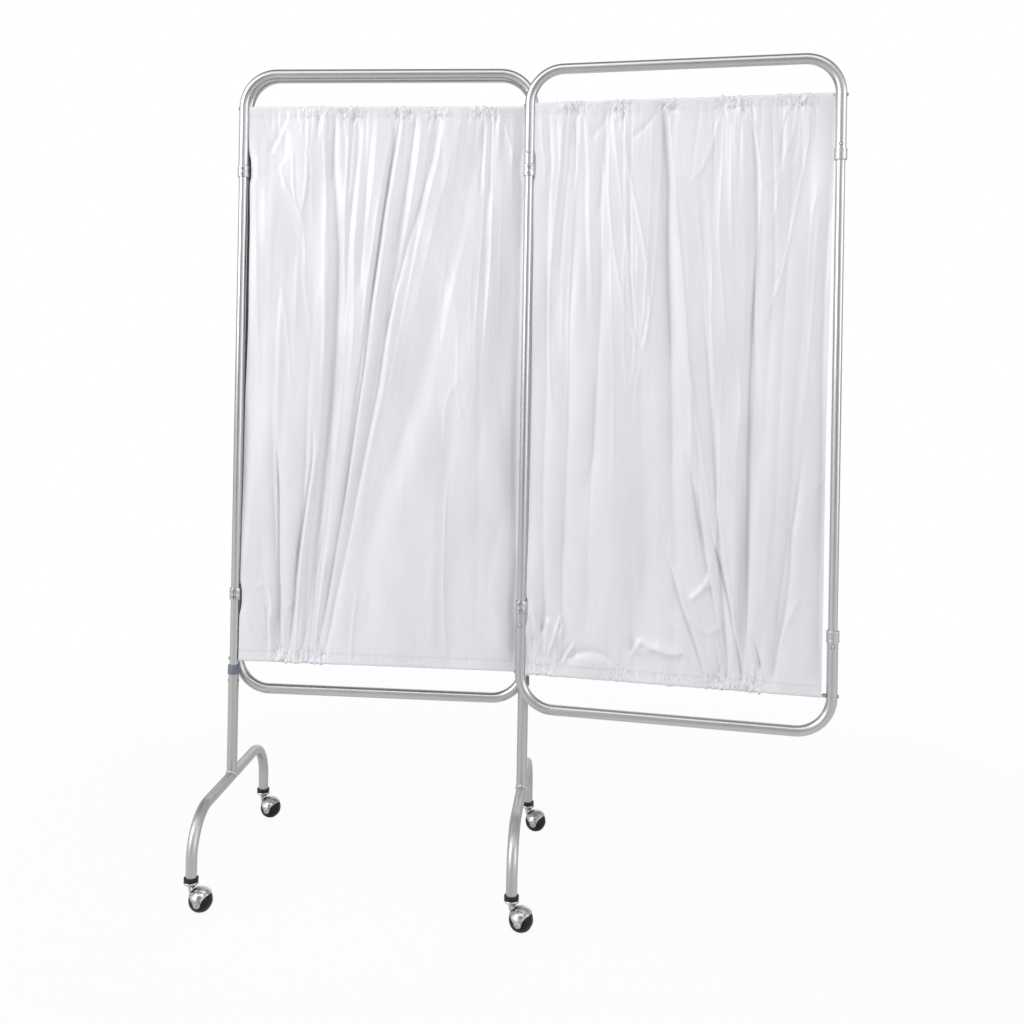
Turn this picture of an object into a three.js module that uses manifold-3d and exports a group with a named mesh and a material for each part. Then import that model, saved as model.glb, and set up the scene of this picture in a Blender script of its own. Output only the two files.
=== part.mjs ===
// A three-panel ward privacy screen: a wheeled centre frame and two wings that fold on clip hinges.
// Lengths are millimetres. +Z is up, +X runs along the centre frame and -Y is its front.
// The origin lies on the floor under the right leg, where the centre frame meets the open wing.

import * as THREE from "three";
import { mergeVertices } from "three/addons/utils/BufferGeometryUtils.js";
import Module from "manifold-3d";

// Whole screen
const screenHeight = 1727;
const panelWidth = 635; // between the axes of a panel's two side tubes
const wingUnderside = 355; // floor to the lowest point of a wing
const hingeSpacing = 30; // between the axes of two hinged side tubes

// Tubes
const bowDiameter = 22.2;
const bowWall = 1.2;
const sideDiameter = 19.05;
const sideWall = 1.2;
const cornerRadius = 72; // centre line of a bow's round corners
const bowLeg = 200; // from a bow's rail axis to the open end of its leg
const tubeOverlap = 45; // how far a side tube reaches into a bow
const fit = 0.3; // running gap kept wherever two pieces touch

// Base
const footSpan = 470; // between the axes of a foot's two castors
const footAxisHeight = 182;
const footStraight = 30.9; // of a foot's tube, between its castor sleeve and its bend
const weldBeadRadius = 2.2;
const postTop = 418;
const tubeInPost = 62;
const collarHeight = 20;
const collarLip = 6;
const collarWall = 1.5;
const legRivetDrop = 15; // below the leg collar

// Curtain rods and their nuts
const rodDiameter = 4.8;
const rodDrop = 75; // from a rail axis to the rod beside it
const centreRodRise = 13; // from the leg collar to the centre frame's bottom rod
const capNutDiameter = 7.6;
const capNutHeight = 2.8;
const innerNutDiameter = 8.4;
const innerNutLength = 6;

// Rivets that hold the side tubes in the bows
const rivetDrop = 175; // from a rail axis
const rivetHeadDiameter = 6.4;
const rivetHeadHeight = 1.8;

// Ferrules on the free side of a wing
const ferruleHeight = 24;
const ferruleLip = 6.4; // below or above the bow's open end
const ferruleWall = 1.7;

// Hinge clips
const clipHeight = 25;
const clipWall = 2.4;
const clipWaistThickness = 3.2;
const clipWaistShare = 0.32; // of the hinge spacing, the flat between the two knuckles
const clipSplit = 0.8; // between the two halves
const clipWindowHeight = 6;
const clipWindowReach = 6;
const screwHeadDiameter = 7.4;
const screwHeadHeight = 2.4;
const screwShankDiameter = 4;
const screwSlotWidth = 1.2;
const screwSlotDepth = 1.1;
const screwNutDiameter = 7.6;
const screwNutHeight = 3;

// Ball castors
const wheelDiameter = 47;
const wheelWidth = 43;
const treadWidth = 9;
const hubRecess = 1.2; // the hubs' dish towards the axle
const castorOffset = 20; // from the swivel axis to the wheel's centre
const wheelGap = 0.5; // between the wheel and its hood
const hoodWall = 1.5;
const lobeWall = 2.1;
const hoodFrontRise = 15; // the hood's edges, measured from the wheel's centre
const hoodRearRise = 12.5;
const lobeRadius = 7.5;
const lobeFlareShare = 1.4; // of the lobe's radius, where its sides turn into the hood's edge
const axleDiameter = 5;
const axleHeadDiameter = 7;
const axleHeadHeight = 0.9;
const dishDiameter = 30;
const dishThickness = 3;
const dishCone = 4.2;
const hornNeckDiameter = 12;
const hornFootShare = 0.7; // of the neck, where the horn meets the hood
const hornFlangeDiameter = 26;
const hornFlangeThickness = 2.4;
const hornFlangeTilt = 49; // degrees from the floor
const hornFlangeRise = 9; // along the flange, from where it touches the hood
const sleeveDiameter = 29;
const sleeveHeight = 7.5;
const sleeveFloor = 3;
const sleeveChamfer = 1;
const sleeveBase = 58.6; // height of the sleeve's underside
const socketLength = 26;
const stemDiameter = 10;
const stemLength = 24;

// Curtains
const curtainMargin = 20; // from a side tube's axis to the curtain's edge
const clothThickness = 1.6;
const hemRadius = 6.4;
const foldDepth = 8;
const foldCounts = { centre: 5, left_wing: 5, right_wing: 5 };
const foldCrowdShares = { centre: 0.62, left_wing: 0.8, right_wing: 1.25 };
const foldSwellShare = 0.5; // how soon the folds reach their depth below the hem
const foldUnevenShare = 0.26; // of the fold depth, more in the middle than at the edges

// How the screen stands in the photograph
const rightWingAngle = -8; // degrees from the centre frame, seen from above
const rightClipAngle = -10; // degrees from straight forward
const castorAngles = { left_front: 0, left_back: -9, right_front: -14, right_back: -12 };

// Fineness of round surfaces
const tubeSides = 12;
const bendSteps = 4;
const smallSides = 8;
const rivetSides = 6;
const wheelSides = 14;
const wheelRows = 3;
const hoodSides = 14;
const hoodRows = 7;
const beadSides = 12;
const beadSections = 3;
const arcSteps = 3;
const curtainColumns = 20;
const curtainRows = 4;
const cellVertices = 6; // two triangles for each cell of a swept wall

// Worked out from the sizes above
const bowRadius = bowDiameter / 2;
const bowBore = bowRadius - bowWall;
const sideRadius = sideDiameter / 2;
const rodRadius = rodDiameter / 2;
const topRail = screenHeight - bowRadius;
const wingBottomRail = wingUnderside + bowRadius;
const topRod = topRail - rodDrop;
const wingBottomRod = wingBottomRail + rodDrop;
const collarTop = postTop + collarLip + fit;
const collarBase = collarTop - collarHeight;
const centreBottomRod = collarTop + centreRodRise;
const wheelRadius = wheelDiameter / 2;
const axleHeight = wheelRadius * Math.cos(Math.PI / wheelSides); // one flat of the tread is on the floor
const footBendRadius = footAxisHeight - sleeveBase - sleeveHeight - footStraight;
const overrun = bowDiameter; // how far a cutting tool reaches past what it cuts

const wasm = await Module();
wasm.setup();

// Closed solids and back

function solid(geometry) {
  const bare = geometry.clone();
  bare.deleteAttribute("normal");
  bare.deleteAttribute("uv");
  const merged = mergeVertices(bare);
  const vertProperties = merged.attributes.position.array;
  const triVerts = new Uint32Array(merged.index.array);
  return new wasm.Manifold(new wasm.Mesh({ numProp: 3, vertProperties, triVerts }));
}

function geometryOf(shape) {
  const mesh = shape.getMesh();
  const geometry = new THREE.BufferGeometry();
  geometry.setAttribute("position", new THREE.BufferAttribute(mesh.vertProperties, 3));
  geometry.setIndex(new THREE.BufferAttribute(mesh.triVerts, 1));
  const faceted = geometry.toNonIndexed();
  faceted.computeVertexNormals();
  return faceted;
}

// Radius of the polygon that clears a round of the given radius
function around(radius, sides) {
  return radius / Math.cos(Math.PI / sides);
}

// Revolves a closed outline of [radius, height] pairs about the Z axis
function turned(outline, sides) {
  const points = outline.map(([radius, height]) => new THREE.Vector2(radius, height));
  points.push(points[0].clone());
  return new THREE.LatheGeometry(points, sides).rotateX(Math.PI / 2);
}

// A plain round bar along Z, from one height to another
function bar(radius, low, high, sides) {
  return new THREE.CylinderGeometry(radius, radius, high - low, sides)
    .rotateX(Math.PI / 2)
    .translate(0, 0, (low + high) / 2);
}

function alongX(geometry) {
  return geometry.rotateY(Math.PI / 2);
}

function alongY(geometry) {
  return geometry.rotateX(-Math.PI / 2);
}

function slab(sizeX, sizeY, sizeZ, x, y, z) {
  return new THREE.BoxGeometry(sizeX, sizeY, sizeZ).translate(x, y, z);
}

// A tube's centre line: straight runs joined by round bends, with stations only at the bends and ends
class BentLine extends THREE.Curve {
  constructor(corners, bendRadius, steps) {
    super();
    this.stations = [];
    this.directions = [];
    const last = corners.length - 1;
    corners.forEach((corner, i) => {
      const incoming = new THREE.Vector3().subVectors(corner, corners[Math.max(i - 1, 0)]).normalize();
      const outgoing = new THREE.Vector3().subVectors(corners[Math.min(i + 1, last)], corner).normalize();
      if (i === 0 || i === last) {
        this.add(corner, i === 0 ? outgoing : incoming);
        return;
      }
      const turn = incoming.angleTo(outgoing);
      const setback = bendRadius * Math.tan(turn / 2);
      const start = corner.clone().addScaledVector(incoming, -setback);
      const inward = outgoing.clone().addScaledVector(incoming, -Math.cos(turn)).normalize();
      for (let k = 0; k <= steps; k += 1) {
        const angle = (turn * k) / steps;
        const point = start
          .clone()
          .addScaledVector(incoming, bendRadius * Math.sin(angle))
          .addScaledVector(inward, bendRadius * (1 - Math.cos(angle)));
        const direction = incoming
          .clone()
          .multiplyScalar(Math.cos(angle))
          .addScaledVector(inward, Math.sin(angle));
        this.add(point, direction);
      }
    });
  }

  add(point, direction) {
    this.stations.push(point.clone());
    this.directions.push(direction.clone());
  }

  get runs() {
    return this.stations.length - 1;
  }

  getPoint(t) {
    const place = t * this.runs;
    const i = Math.min(Math.floor(place), this.runs - 1);
    return this.stations[i].clone().lerp(this.stations[i + 1], place - i);
  }

  getTangent(t) {
    return this.directions[Math.round(t * this.runs)].clone();
  }

  getPointAt(u) {
    return this.getPoint(u);
  }

  getTangentAt(u) {
    return this.getTangent(u);
  }
}

function ring(radius, bore, sides) {
  const section = new THREE.Shape();
  section.setFromPoints(polygon(radius, sides));
  if (bore > 0) section.holes.push(new THREE.Path().setFromPoints(polygon(around(bore, sides), sides)));
  return section;
}

function polygon(radius, sides) {
  return Array.from({ length: sides }, (_, i) => {
    const angle = (2 * Math.PI * (i + 0.5)) / sides;
    return new THREE.Vector2(radius * Math.cos(angle), radius * Math.sin(angle));
  });
}

function bentTube(corners, bendRadius, radius, bore) {
  const path = new BentLine(corners, bendRadius, bendSteps);
  const tube = new THREE.ExtrudeGeometry(ring(radius, bore, tubeSides), {
    steps: path.runs,
    extrudePath: path,
    bevelEnabled: false,
  });
  return solid(tube);
}

function straightTube(radius, bore, low, high) {
  const section = ring(radius, bore, tubeSides);
  const tube = new THREE.ExtrudeGeometry(section, { depth: high - low, bevelEnabled: false });
  return solid(tube.translate(0, 0, low));
}

// A hole for a curtain rod, right across a panel
function rodHole(height) {
  const radius = around(rodRadius + fit, rivetSides);
  const hole = alongX(bar(radius, -overrun, panelWidth + overrun, rivetSides));
  return solid(hole.translate(0, 0, height));
}

// Domed rivet heads on the tube surface that faces the given side, +1 or -1 along Y
function rivetHeads(places, side) {
  const sunk = bowRadius - bowWall / 2;
  const top = bowRadius + rivetHeadHeight;
  const shoulder = bowRadius + rivetHeadHeight / 2;
  const radius = rivetHeadDiameter / 2;
  const outline = [
    [0, sunk],
    [radius, sunk],
    [radius, shoulder],
    [0, top],
  ];
  return places.map(([x, z]) => {
    const head = turned(outline, rivetSides);
    if (side > 0) alongY(head);
    else head.rotateX(Math.PI / 2);
    return solid(head.translate(x, 0, z));
  });
}

// Frame pieces. A panel's inner side tube stands on x = 0 and its outer one on x = panelWidth

// The bow is an inverted U over the panel, or with direction -1 a U under it
function bow(rail, direction, rod, rivetSide) {
  const end = rail - direction * bowLeg;
  const corners = [
    new THREE.Vector3(0, 0, end),
    new THREE.Vector3(0, 0, rail),
    new THREE.Vector3(panelWidth, 0, rail),
    new THREE.Vector3(panelWidth, 0, end),
  ];
  const tube = bentTube(corners, cornerRadius, bowRadius, bowBore);
  const rivetHeight = rail - direction * rivetDrop;
  const places = [
    [0, rivetHeight],
    [panelWidth, rivetHeight],
  ];
  const riveted = rivetHeads(places, rivetSide).reduce((sum, head) => sum.add(head), tube);
  return geometryOf(riveted.subtract(rodHole(rod)));
}

function sideTube(low, high) {
  return geometryOf(straightTube(sideRadius, sideRadius - sideWall, low, high));
}

function centreSideTube() {
  const low = postTop - tubeInPost;
  const high = topRail - bowLeg + tubeOverlap;
  const tube = straightTube(sideRadius, sideRadius - sideWall, low, high);
  const hole = rodHole(centreBottomRod).translate([-panelWidth / 2, 0, 0]);
  return geometryOf(tube.subtract(hole));
}

// A rod with a nut inside each side tube and a cap nut outside it, turned about its own axis
function curtainRod(tubeRadius) {
  const seat = tubeRadius + fit;
  const capRadius = capNutDiameter / 2;
  const nutRadius = innerNutDiameter / 2;
  const half = [
    [0, -seat - capNutHeight],
    [capRadius, -seat - capNutHeight / 2],
    [capRadius, -seat],
    [rodRadius, -seat],
    [rodRadius, seat],
    [nutRadius, seat],
    [nutRadius, seat + innerNutLength],
    [rodRadius, seat + innerNutLength],
  ];
  const mirrored = half.map(([radius, place]) => [radius, panelWidth - place]).reverse();
  const outline = [...half, ...mirrored];
  return alongX(turned(outline, rivetSides));
}

// A reducing ring over a bow's open end. Its lip closes on the side tube past that end
function ferrule() {
  const outer = bowRadius + fit + ferruleWall;
  const wide = around(bowRadius + fit, tubeSides);
  const narrow = around(sideRadius + fit, tubeSides);
  const outline = [
    [narrow, -ferruleLip],
    [outer, -ferruleLip],
    [outer, ferruleHeight - ferruleLip],
    [wide, ferruleHeight - ferruleLip],
    [wide, -fit],
    [narrow, -fit],
  ];
  return turned(outline, tubeSides);
}

// The collar caps a leg post and guides the side tube that stands in it
function legCollar() {
  const outer = bowRadius + fit + collarWall;
  const wide = around(bowRadius + fit, tubeSides);
  const narrow = around(sideRadius + fit, tubeSides);
  const chamfer = collarWall / 2;
  const outline = [
    [wide, collarBase],
    [outer, collarBase],
    [outer, collarTop - chamfer],
    [outer - chamfer, collarTop],
    [narrow, collarTop],
    [narrow, postTop + fit],
    [wide, postTop + fit],
  ];
  return turned(outline, tubeSides);
}

// The post is saddle cut where it stands on the foot, and carries a rivet head on each side
function legPost() {
  const tube = straightTube(bowRadius, bowBore, footAxisHeight, postTop);
  const saddleRadius = around(bowRadius + fit, 2 * tubeSides);
  const saddle = alongY(bar(saddleRadius, -overrun, overrun, 2 * tubeSides)).translate(0, 0, footAxisHeight);
  const heads = rivetHeads([[0, 0]], 1).concat(rivetHeads([[0, 0]], -1));
  const placed = heads.map((head) => head.rotate([0, 0, 90]).translate([0, 0, collarBase - legRivetDrop]));
  const riveted = placed.reduce((sum, head) => sum.add(head), tube);
  return geometryOf(riveted.subtract(solid(saddle)));
}

// The foot is one bent tube along Y with a weld bead round the post's saddle
function foot() {
  const reach = footSpan / 2;
  const end = sleeveBase + sleeveFloor + fit;
  const corners = [
    new THREE.Vector3(0, -reach, end),
    new THREE.Vector3(0, -reach, footAxisHeight),
    new THREE.Vector3(0, reach, footAxisHeight),
    new THREE.Vector3(0, reach, end),
  ];
  const tube = bentTube(corners, footBendRadius, bowRadius, bowBore);
  const bead = new THREE.TorusGeometry(bowRadius, weldBeadRadius, beadSections, beadSides);
  const place = bead.attributes.position;
  for (let i = 0; i < place.count; i += 1) {
    const angle = Math.atan2(place.getY(i), place.getX(i));
    const across = bowRadius * Math.cos(angle);
    place.setZ(i, place.getZ(i) + footAxisHeight + Math.sqrt(bowRadius ** 2 - across ** 2));
  }
  const room = bar(around(bowRadius + fit, tubeSides), footAxisHeight, postTop, tubeSides);
  const trimmed = solid(bead).subtract(solid(room));
  return geometryOf(trimmed.add(tube));
}

// Hinge clip. The first tube's axis is at the origin and the second one's at y = hingeSpacing

function clipHalf(side) {
  const inner = around(sideRadius + fit, 4 * arcSteps);
  const outer = inner + clipWall;
  const edge = clipSplit / 2;
  const waistHalf = (hingeSpacing * clipWaistShare) / 2;
  const middle = hingeSpacing / 2;
  const waist = edge + clipWaistThickness;
  const openOuter = Math.asin(edge / outer);
  const openInner = Math.asin(edge / inner);
  const quarter = Math.PI / 2;
  const meet = Math.asin((middle - waistHalf) / outer);
  const outline = new THREE.Shape();
  outline.absarc(0, 0, outer, -quarter + openOuter, meet, false);
  outline.lineTo(waist, middle - waistHalf);
  outline.lineTo(waist, middle + waistHalf);
  outline.absarc(0, hingeSpacing, outer, -meet, quarter - openOuter, false);
  outline.absarc(0, hingeSpacing, inner, quarter - openInner, -quarter + openInner, true);
  outline.absarc(0, 0, inner, quarter - openInner, -quarter + openInner, true);
  const strap = new THREE.ExtrudeGeometry(outline, {
    depth: clipHeight,
    curveSegments: arcSteps,
    bevelEnabled: false,
  });
  strap.translate(0, 0, -clipHeight / 2);
  const windowCut = (y) => solid(slab(2 * clipWindowReach, outer, clipWindowHeight, 0, y, 0));
  const screwHole = alongX(bar(screwShankDiameter / 2 + fit, 0, overrun, smallSides));
  const half = solid(strap)
    .subtract(windowCut(-outer))
    .subtract(windowCut(hingeSpacing + outer))
    .subtract(solid(screwHole.translate(0, middle, 0)));
  return geometryOf(side > 0 ? half : half.rotate([0, 0, 180]).translate([0, hingeSpacing, 0]));
}

// The screw runs along X through the waist, with its slotted head on the -X side
function clipScrew() {
  const seat = clipSplit / 2 + clipWaistThickness + fit;
  const head = screwHeadDiameter / 2;
  const shank = screwShankDiameter / 2;
  const nut = screwNutDiameter / 2;
  const headTop = seat + screwHeadHeight;
  const outline = [
    [0, -headTop],
    [head / 2, -headTop],
    [head, -seat - screwHeadHeight / 2],
    [head, -seat],
    [shank, -seat],
    [shank, seat],
    [nut, seat],
    [nut, seat + screwNutHeight],
    [0, seat + screwNutHeight],
  ];
  const slot = slab(2 * screwSlotDepth, screwHeadDiameter, screwSlotWidth, -headTop, 0, 0);
  const screw = solid(alongX(turned(outline, smallSides))).subtract(solid(slot));
  return geometryOf(screw.translate([0, hingeSpacing / 2, 0]));
}

// Castor pieces. The swivel axis is x = 0 and the wheel trails along +X

function ball(radius, halfWidthY) {
  const sphere = solid(new THREE.SphereGeometry(radius, hoodSides, hoodRows));
  const span = 4 * radius;
  return sphere.intersect(solid(slab(span, 2 * halfWidthY, span, 0, 0, 0)));
}

// Side view of the hood about the wheel's centre: everything above this line is kept
function hoodOutline() {
  const reach = wheelDiameter;
  const outline = new THREE.Shape();
  outline.moveTo(reach, reach);
  outline.lineTo(-reach, reach);
  outline.lineTo(-reach, hoodRearRise);
  outline.lineTo(-wheelRadius, hoodRearRise);
  outline.quadraticCurveTo(-lobeRadius * lobeFlareShare, hoodRearRise / 2, -lobeRadius, 0);
  outline.absarc(0, 0, lobeRadius, Math.PI, 2 * Math.PI, false);
  outline.quadraticCurveTo(lobeRadius * lobeFlareShare, hoodFrontRise, wheelRadius, hoodFrontRise);
  outline.lineTo(reach, hoodFrontRise);
  return outline;
}

function castorHood() {
  const treadEdge = Math.hypot(wheelRadius, treadWidth / 2);
  const facetShare = Math.cos(Math.PI / hoodSides) * Math.cos(Math.PI / hoodRows / 2);
  const roomRadius = (treadEdge + wheelGap) / facetShare;
  const roomHalf = wheelWidth / 2 + wheelGap;
  const shellHalf = roomHalf + lobeWall;
  const centreX = castorOffset;
  const mask = new THREE.ExtrudeGeometry(hoodOutline(), {
    depth: 2 * wheelDiameter,
    curveSegments: arcSteps,
    bevelEnabled: false,
  });
  mask.translate(0, 0, -wheelDiameter).rotateX(Math.PI / 2);
  const shell = ball(roomRadius + hoodWall, shellHalf).intersect(solid(mask));

  const dishBase = sleeveBase - fit - dishThickness - axleHeight;
  const dishRadius = dishDiameter / 2;
  const neck = hornNeckDiameter / 2;
  const stemTop = dishBase + dishThickness + stemLength;
  const stem = stemDiameter / 2;
  const horn = [
    [0, hoodRearRise],
    [neck * hornFootShare, hoodRearRise],
    [neck, (hoodRearRise + dishBase - dishCone) / 2],
    [(neck + dishRadius) / 2, dishBase - dishCone],
    [dishRadius, dishBase],
    [dishRadius, dishBase + dishThickness],
    [stem, dishBase + dishThickness],
    [stem, stemTop - stem / 2],
    [stem / 2, stemTop],
    [0, stemTop],
  ];
  const funnel = solid(turned(horn, tubeSides)).translate([-centreX, 0, 0]);

  const tilt = THREE.MathUtils.degToRad(hornFlangeTilt);
  const out = roomRadius + hoodWall - hornFlangeThickness / 2;
  const flangeX = -out * Math.sin(tilt) + hornFlangeRise * Math.cos(tilt);
  const flangeZ = out * Math.cos(tilt) + hornFlangeRise * Math.sin(tilt);
  const disc = bar(hornFlangeDiameter / 2, 0, hornFlangeThickness, tubeSides);
  const flange = solid(disc.rotateY(-tilt).translate(flangeX, 0, flangeZ));
  const underDish = slab(4 * dishRadius, 4 * dishRadius, 2 * dishRadius, -centreX, 0, dishBase - dishRadius);
  const carrier = flange.intersect(solid(underDish)).add(funnel);

  const room = ball(roomRadius, roomHalf);
  const axleHole = alongY(bar(around(axleDiameter / 2 + fit, smallSides), -overrun, overrun, smallSides));
  const axleRoom = solid(axleHole.scale(1, 2, 1));
  const hood = shell.add(carrier).subtract(room).subtract(axleRoom);
  return geometryOf(hood.translate([centreX, 0, axleHeight]));
}

// The wheel is a ball with a flat tread, turned about Y, with shallow recessed hubs
function castorWheel() {
  const bore = around(axleDiameter / 2 + fit, wheelSides);
  const side = wheelWidth / 2;
  const tread = treadWidth / 2;
  const edgeRadius = Math.sqrt(wheelRadius ** 2 - side ** 2);
  const start = Math.asin(tread / wheelRadius);
  const stop = Math.asin(side / wheelRadius);
  const flank = Array.from({ length: wheelRows + 1 }, (_, i) => {
    const angle = start + ((stop - start) * i) / wheelRows;
    return [i === 0 ? wheelRadius : wheelRadius * Math.cos(angle), wheelRadius * Math.sin(angle)];
  });
  const upper = [...flank, [bore, side - hubRecess]];
  const lower = upper.map(([radius, place]) => [radius, -place]).reverse();
  const wheel = alongY(turned([...lower, ...upper], wheelSides));
  return wheel.rotateY(Math.PI / wheelSides).translate(castorOffset, 0, axleHeight);
}

function castorAxle() {
  const half = wheelWidth / 2 + wheelGap + lobeWall + fit;
  const radius = axleDiameter / 2;
  const head = axleHeadDiameter / 2;
  const outline = [
    [0, -half - axleHeadHeight],
    [head, -half],
    [radius, -half],
    [radius, half],
    [head, half],
    [0, half + axleHeadHeight],
  ];
  return alongY(turned(outline, smallSides)).translate(castorOffset, 0, axleHeight);
}

// The sleeve cups the foot's end, and its socket inside the tube holds the castor's stem
function castorSleeve() {
  const outer = sleeveDiameter / 2;
  const cup = around(bowRadius + fit, tubeSides);
  const plug = bowBore - fit;
  const bore = around(stemDiameter / 2 + fit, tubeSides);
  const floor = sleeveBase + sleeveFloor;
  const outline = [
    [bore, sleeveBase],
    [outer - sleeveChamfer, sleeveBase],
    [outer, sleeveBase + sleeveChamfer],
    [outer, sleeveBase + sleeveHeight],
    [cup, sleeveBase + sleeveHeight],
    [cup, floor],
    [plug, floor],
    [plug, sleeveBase + socketLength],
    [bore, sleeveBase + socketLength],
  ];
  return turned(outline, tubeSides);
}

// Splits both walls of a swept sheet along the same diagonals, so that they stay apart where it twists
function matchDiagonals(sheet) {
  const place = sheet.attributes.position;
  const walls = sheet.groups[1];
  for (let first = walls.start; first < walls.start + walls.count; first += cellVertices) {
    const [a, b, d, , c] = Array.from({ length: cellVertices }, (_, i) =>
      new THREE.Vector3().fromBufferAttribute(place, first + i),
    );
    if (a.y < 0) {
      [a, b, c, a, c, d].forEach((point, i) => place.setXYZ(first + i, ...point));
    }
  }
}

// Curtain: a sheet with a hem tunnel round each rod, swept across the panel and pressed into folds.
// The folds run from even at the top to crowded at one side of the bottom
function curtain(bottomRod, folds, crowdShare) {
  const half = clothThickness / 2;
  const spread = Math.asin(half / hemRadius);
  const neck = hemRadius * Math.cos(spread);
  const low = bottomRod + neck;
  const high = topRod - neck;
  const down = -Math.PI / 2;
  const section = new THREE.Shape();
  const pitch = (high - low) / (curtainRows + 1);
  const levels = Array.from({ length: curtainRows }, (_, i) => low + pitch * (i + 1));
  levels.forEach((z, i) => (i === 0 ? section.moveTo(half, z) : section.lineTo(half, z)));
  section.absarc(0, topRod, hemRadius, down + spread, down - spread + 2 * Math.PI, false);
  levels.reverse().forEach((z) => section.lineTo(-half, z));
  section.absarc(0, bottomRod, hemRadius, -down + spread, -down - spread + 2 * Math.PI, false);
  const tunnel = around(rodRadius + fit, rivetSides);
  [topRod, bottomRod].forEach((z) => {
    const points = polygon(tunnel, rivetSides).map((point) => point.add(new THREE.Vector2(0, z)));
    section.holes.push(new THREE.Path().setFromPoints(points));
  });
  const width = panelWidth - 2 * curtainMargin;
  const sheet = new THREE.ExtrudeGeometry(section, {
    depth: width,
    steps: curtainColumns,
    curveSegments: arcSteps - 1,
    bevelEnabled: false,
  });
  const toPanel = new THREE.Matrix4().makeBasis(
    new THREE.Vector3(0, 1, 0),
    new THREE.Vector3(0, 0, 1),
    new THREE.Vector3(1, 0, 0),
  );
  sheet.applyMatrix4(toPanel);
  matchDiagonals(sheet);
  const place = sheet.attributes.position;
  for (let i = 0; i < place.count; i += 1) {
    const acrossShare = place.getX(i) / width;
    const downShare = THREE.MathUtils.clamp((high - place.getZ(i)) / (high - low), 0, 1);
    const crowded = acrossShare ** (1 + (crowdShare - 1) * downShare);
    const swell = Math.sin(Math.PI * downShare) ** foldSwellShare;
    const uneven = 1 - foldUnevenShare * (1 + Math.cos(2 * Math.PI * acrossShare));
    const fold = Math.sin(2 * Math.PI * folds * crowded);
    place.setY(i, place.getY(i) + foldDepth * swell * uneven * fold);
  }
  return sheet.translate(curtainMargin, 0, 0);
}

// Materials
const metal = (color, roughness) => new THREE.MeshStandardMaterial({ color, roughness, metalness: 1 });
const plastic = (color, roughness) => new THREE.MeshStandardMaterial({ color, roughness, metalness: 0 });
const bowMetal = metal(0xc4c6c8, 0.32);
const tubeMetal = metal(0xcfd1d3, 0.28);
const baseMetal = metal(0xb4b6b7, 0.38);
const platedMetal = metal(0xc9cbc6, 0.2);
const rodMetal = metal(0xbdbfc1, 0.3);
const clipMetal = metal(0xc2c3c4, 0.34);
const brassMetal = metal(0xb08a4a, 0.35);
const collarPlastic = plastic(0x707a92, 0.45);
const blackPlastic = plastic(0x1b1b1d, 0.5);
const wheelPlastic = plastic(0x161617, 0.42);
const vinyl = plastic(0xe9eaf0, 0.3);

const screen = new THREE.Group();

function addMesh(group, name, geometry, material) {
  const mesh = new THREE.Mesh(geometry, material);
  mesh.name = name;
  group.add(mesh);
  return mesh;
}

// Centre frame, whose own frame has its left side tube on x = 0
const centre = new THREE.Group();
centre.position.set(-panelWidth, 0, 0);
screen.add(centre);
addMesh(centre, "centre_top_bow", bow(topRail, 1, topRod, 1), bowMetal);
addMesh(centre, "centre_top_rod", curtainRod(bowRadius).translate(0, 0, topRod), rodMetal);
addMesh(centre, "centre_bottom_rod", curtainRod(sideRadius).translate(0, 0, centreBottomRod), rodMetal);
const centreCloth = curtain(centreBottomRod, foldCounts.centre, foldCrowdShares.centre);
addMesh(centre, "centre_curtain", centreCloth, vinyl);

// Each side of the base, with its leg, foot and two castors
for (const [side, x] of [
  ["left", -panelWidth],
  ["right", 0],
]) {
  const leg = new THREE.Group();
  leg.position.set(x, 0, 0);
  screen.add(leg);
  addMesh(leg, `centre_${side}_tube`, centreSideTube(), tubeMetal);
  addMesh(leg, `${side}_leg_post`, legPost(), baseMetal);
  addMesh(leg, `${side}_leg_collar`, legCollar(), collarPlastic);
  addMesh(leg, `${side}_foot`, foot(), baseMetal);
  for (const [end, y] of [
    ["front", -footSpan / 2],
    ["back", footSpan / 2],
  ]) {
    const castor = new THREE.Group();
    castor.position.set(0, y, 0);
    leg.add(castor);
    addMesh(castor, `${side}_${end}_castor_sleeve`, castorSleeve(), blackPlastic);
    const swivel = new THREE.Group();
    swivel.rotation.z = THREE.MathUtils.degToRad(castorAngles[`${side}_${end}`]);
    castor.add(swivel);
    addMesh(swivel, `${side}_${end}_castor_hood`, castorHood(), platedMetal);
    addMesh(swivel, `${side}_${end}_castor_axle`, castorAxle(), platedMetal);
    addMesh(swivel, `${side}_${end}_castor_wheel`, castorWheel(), wheelPlastic);
  }
}

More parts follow.
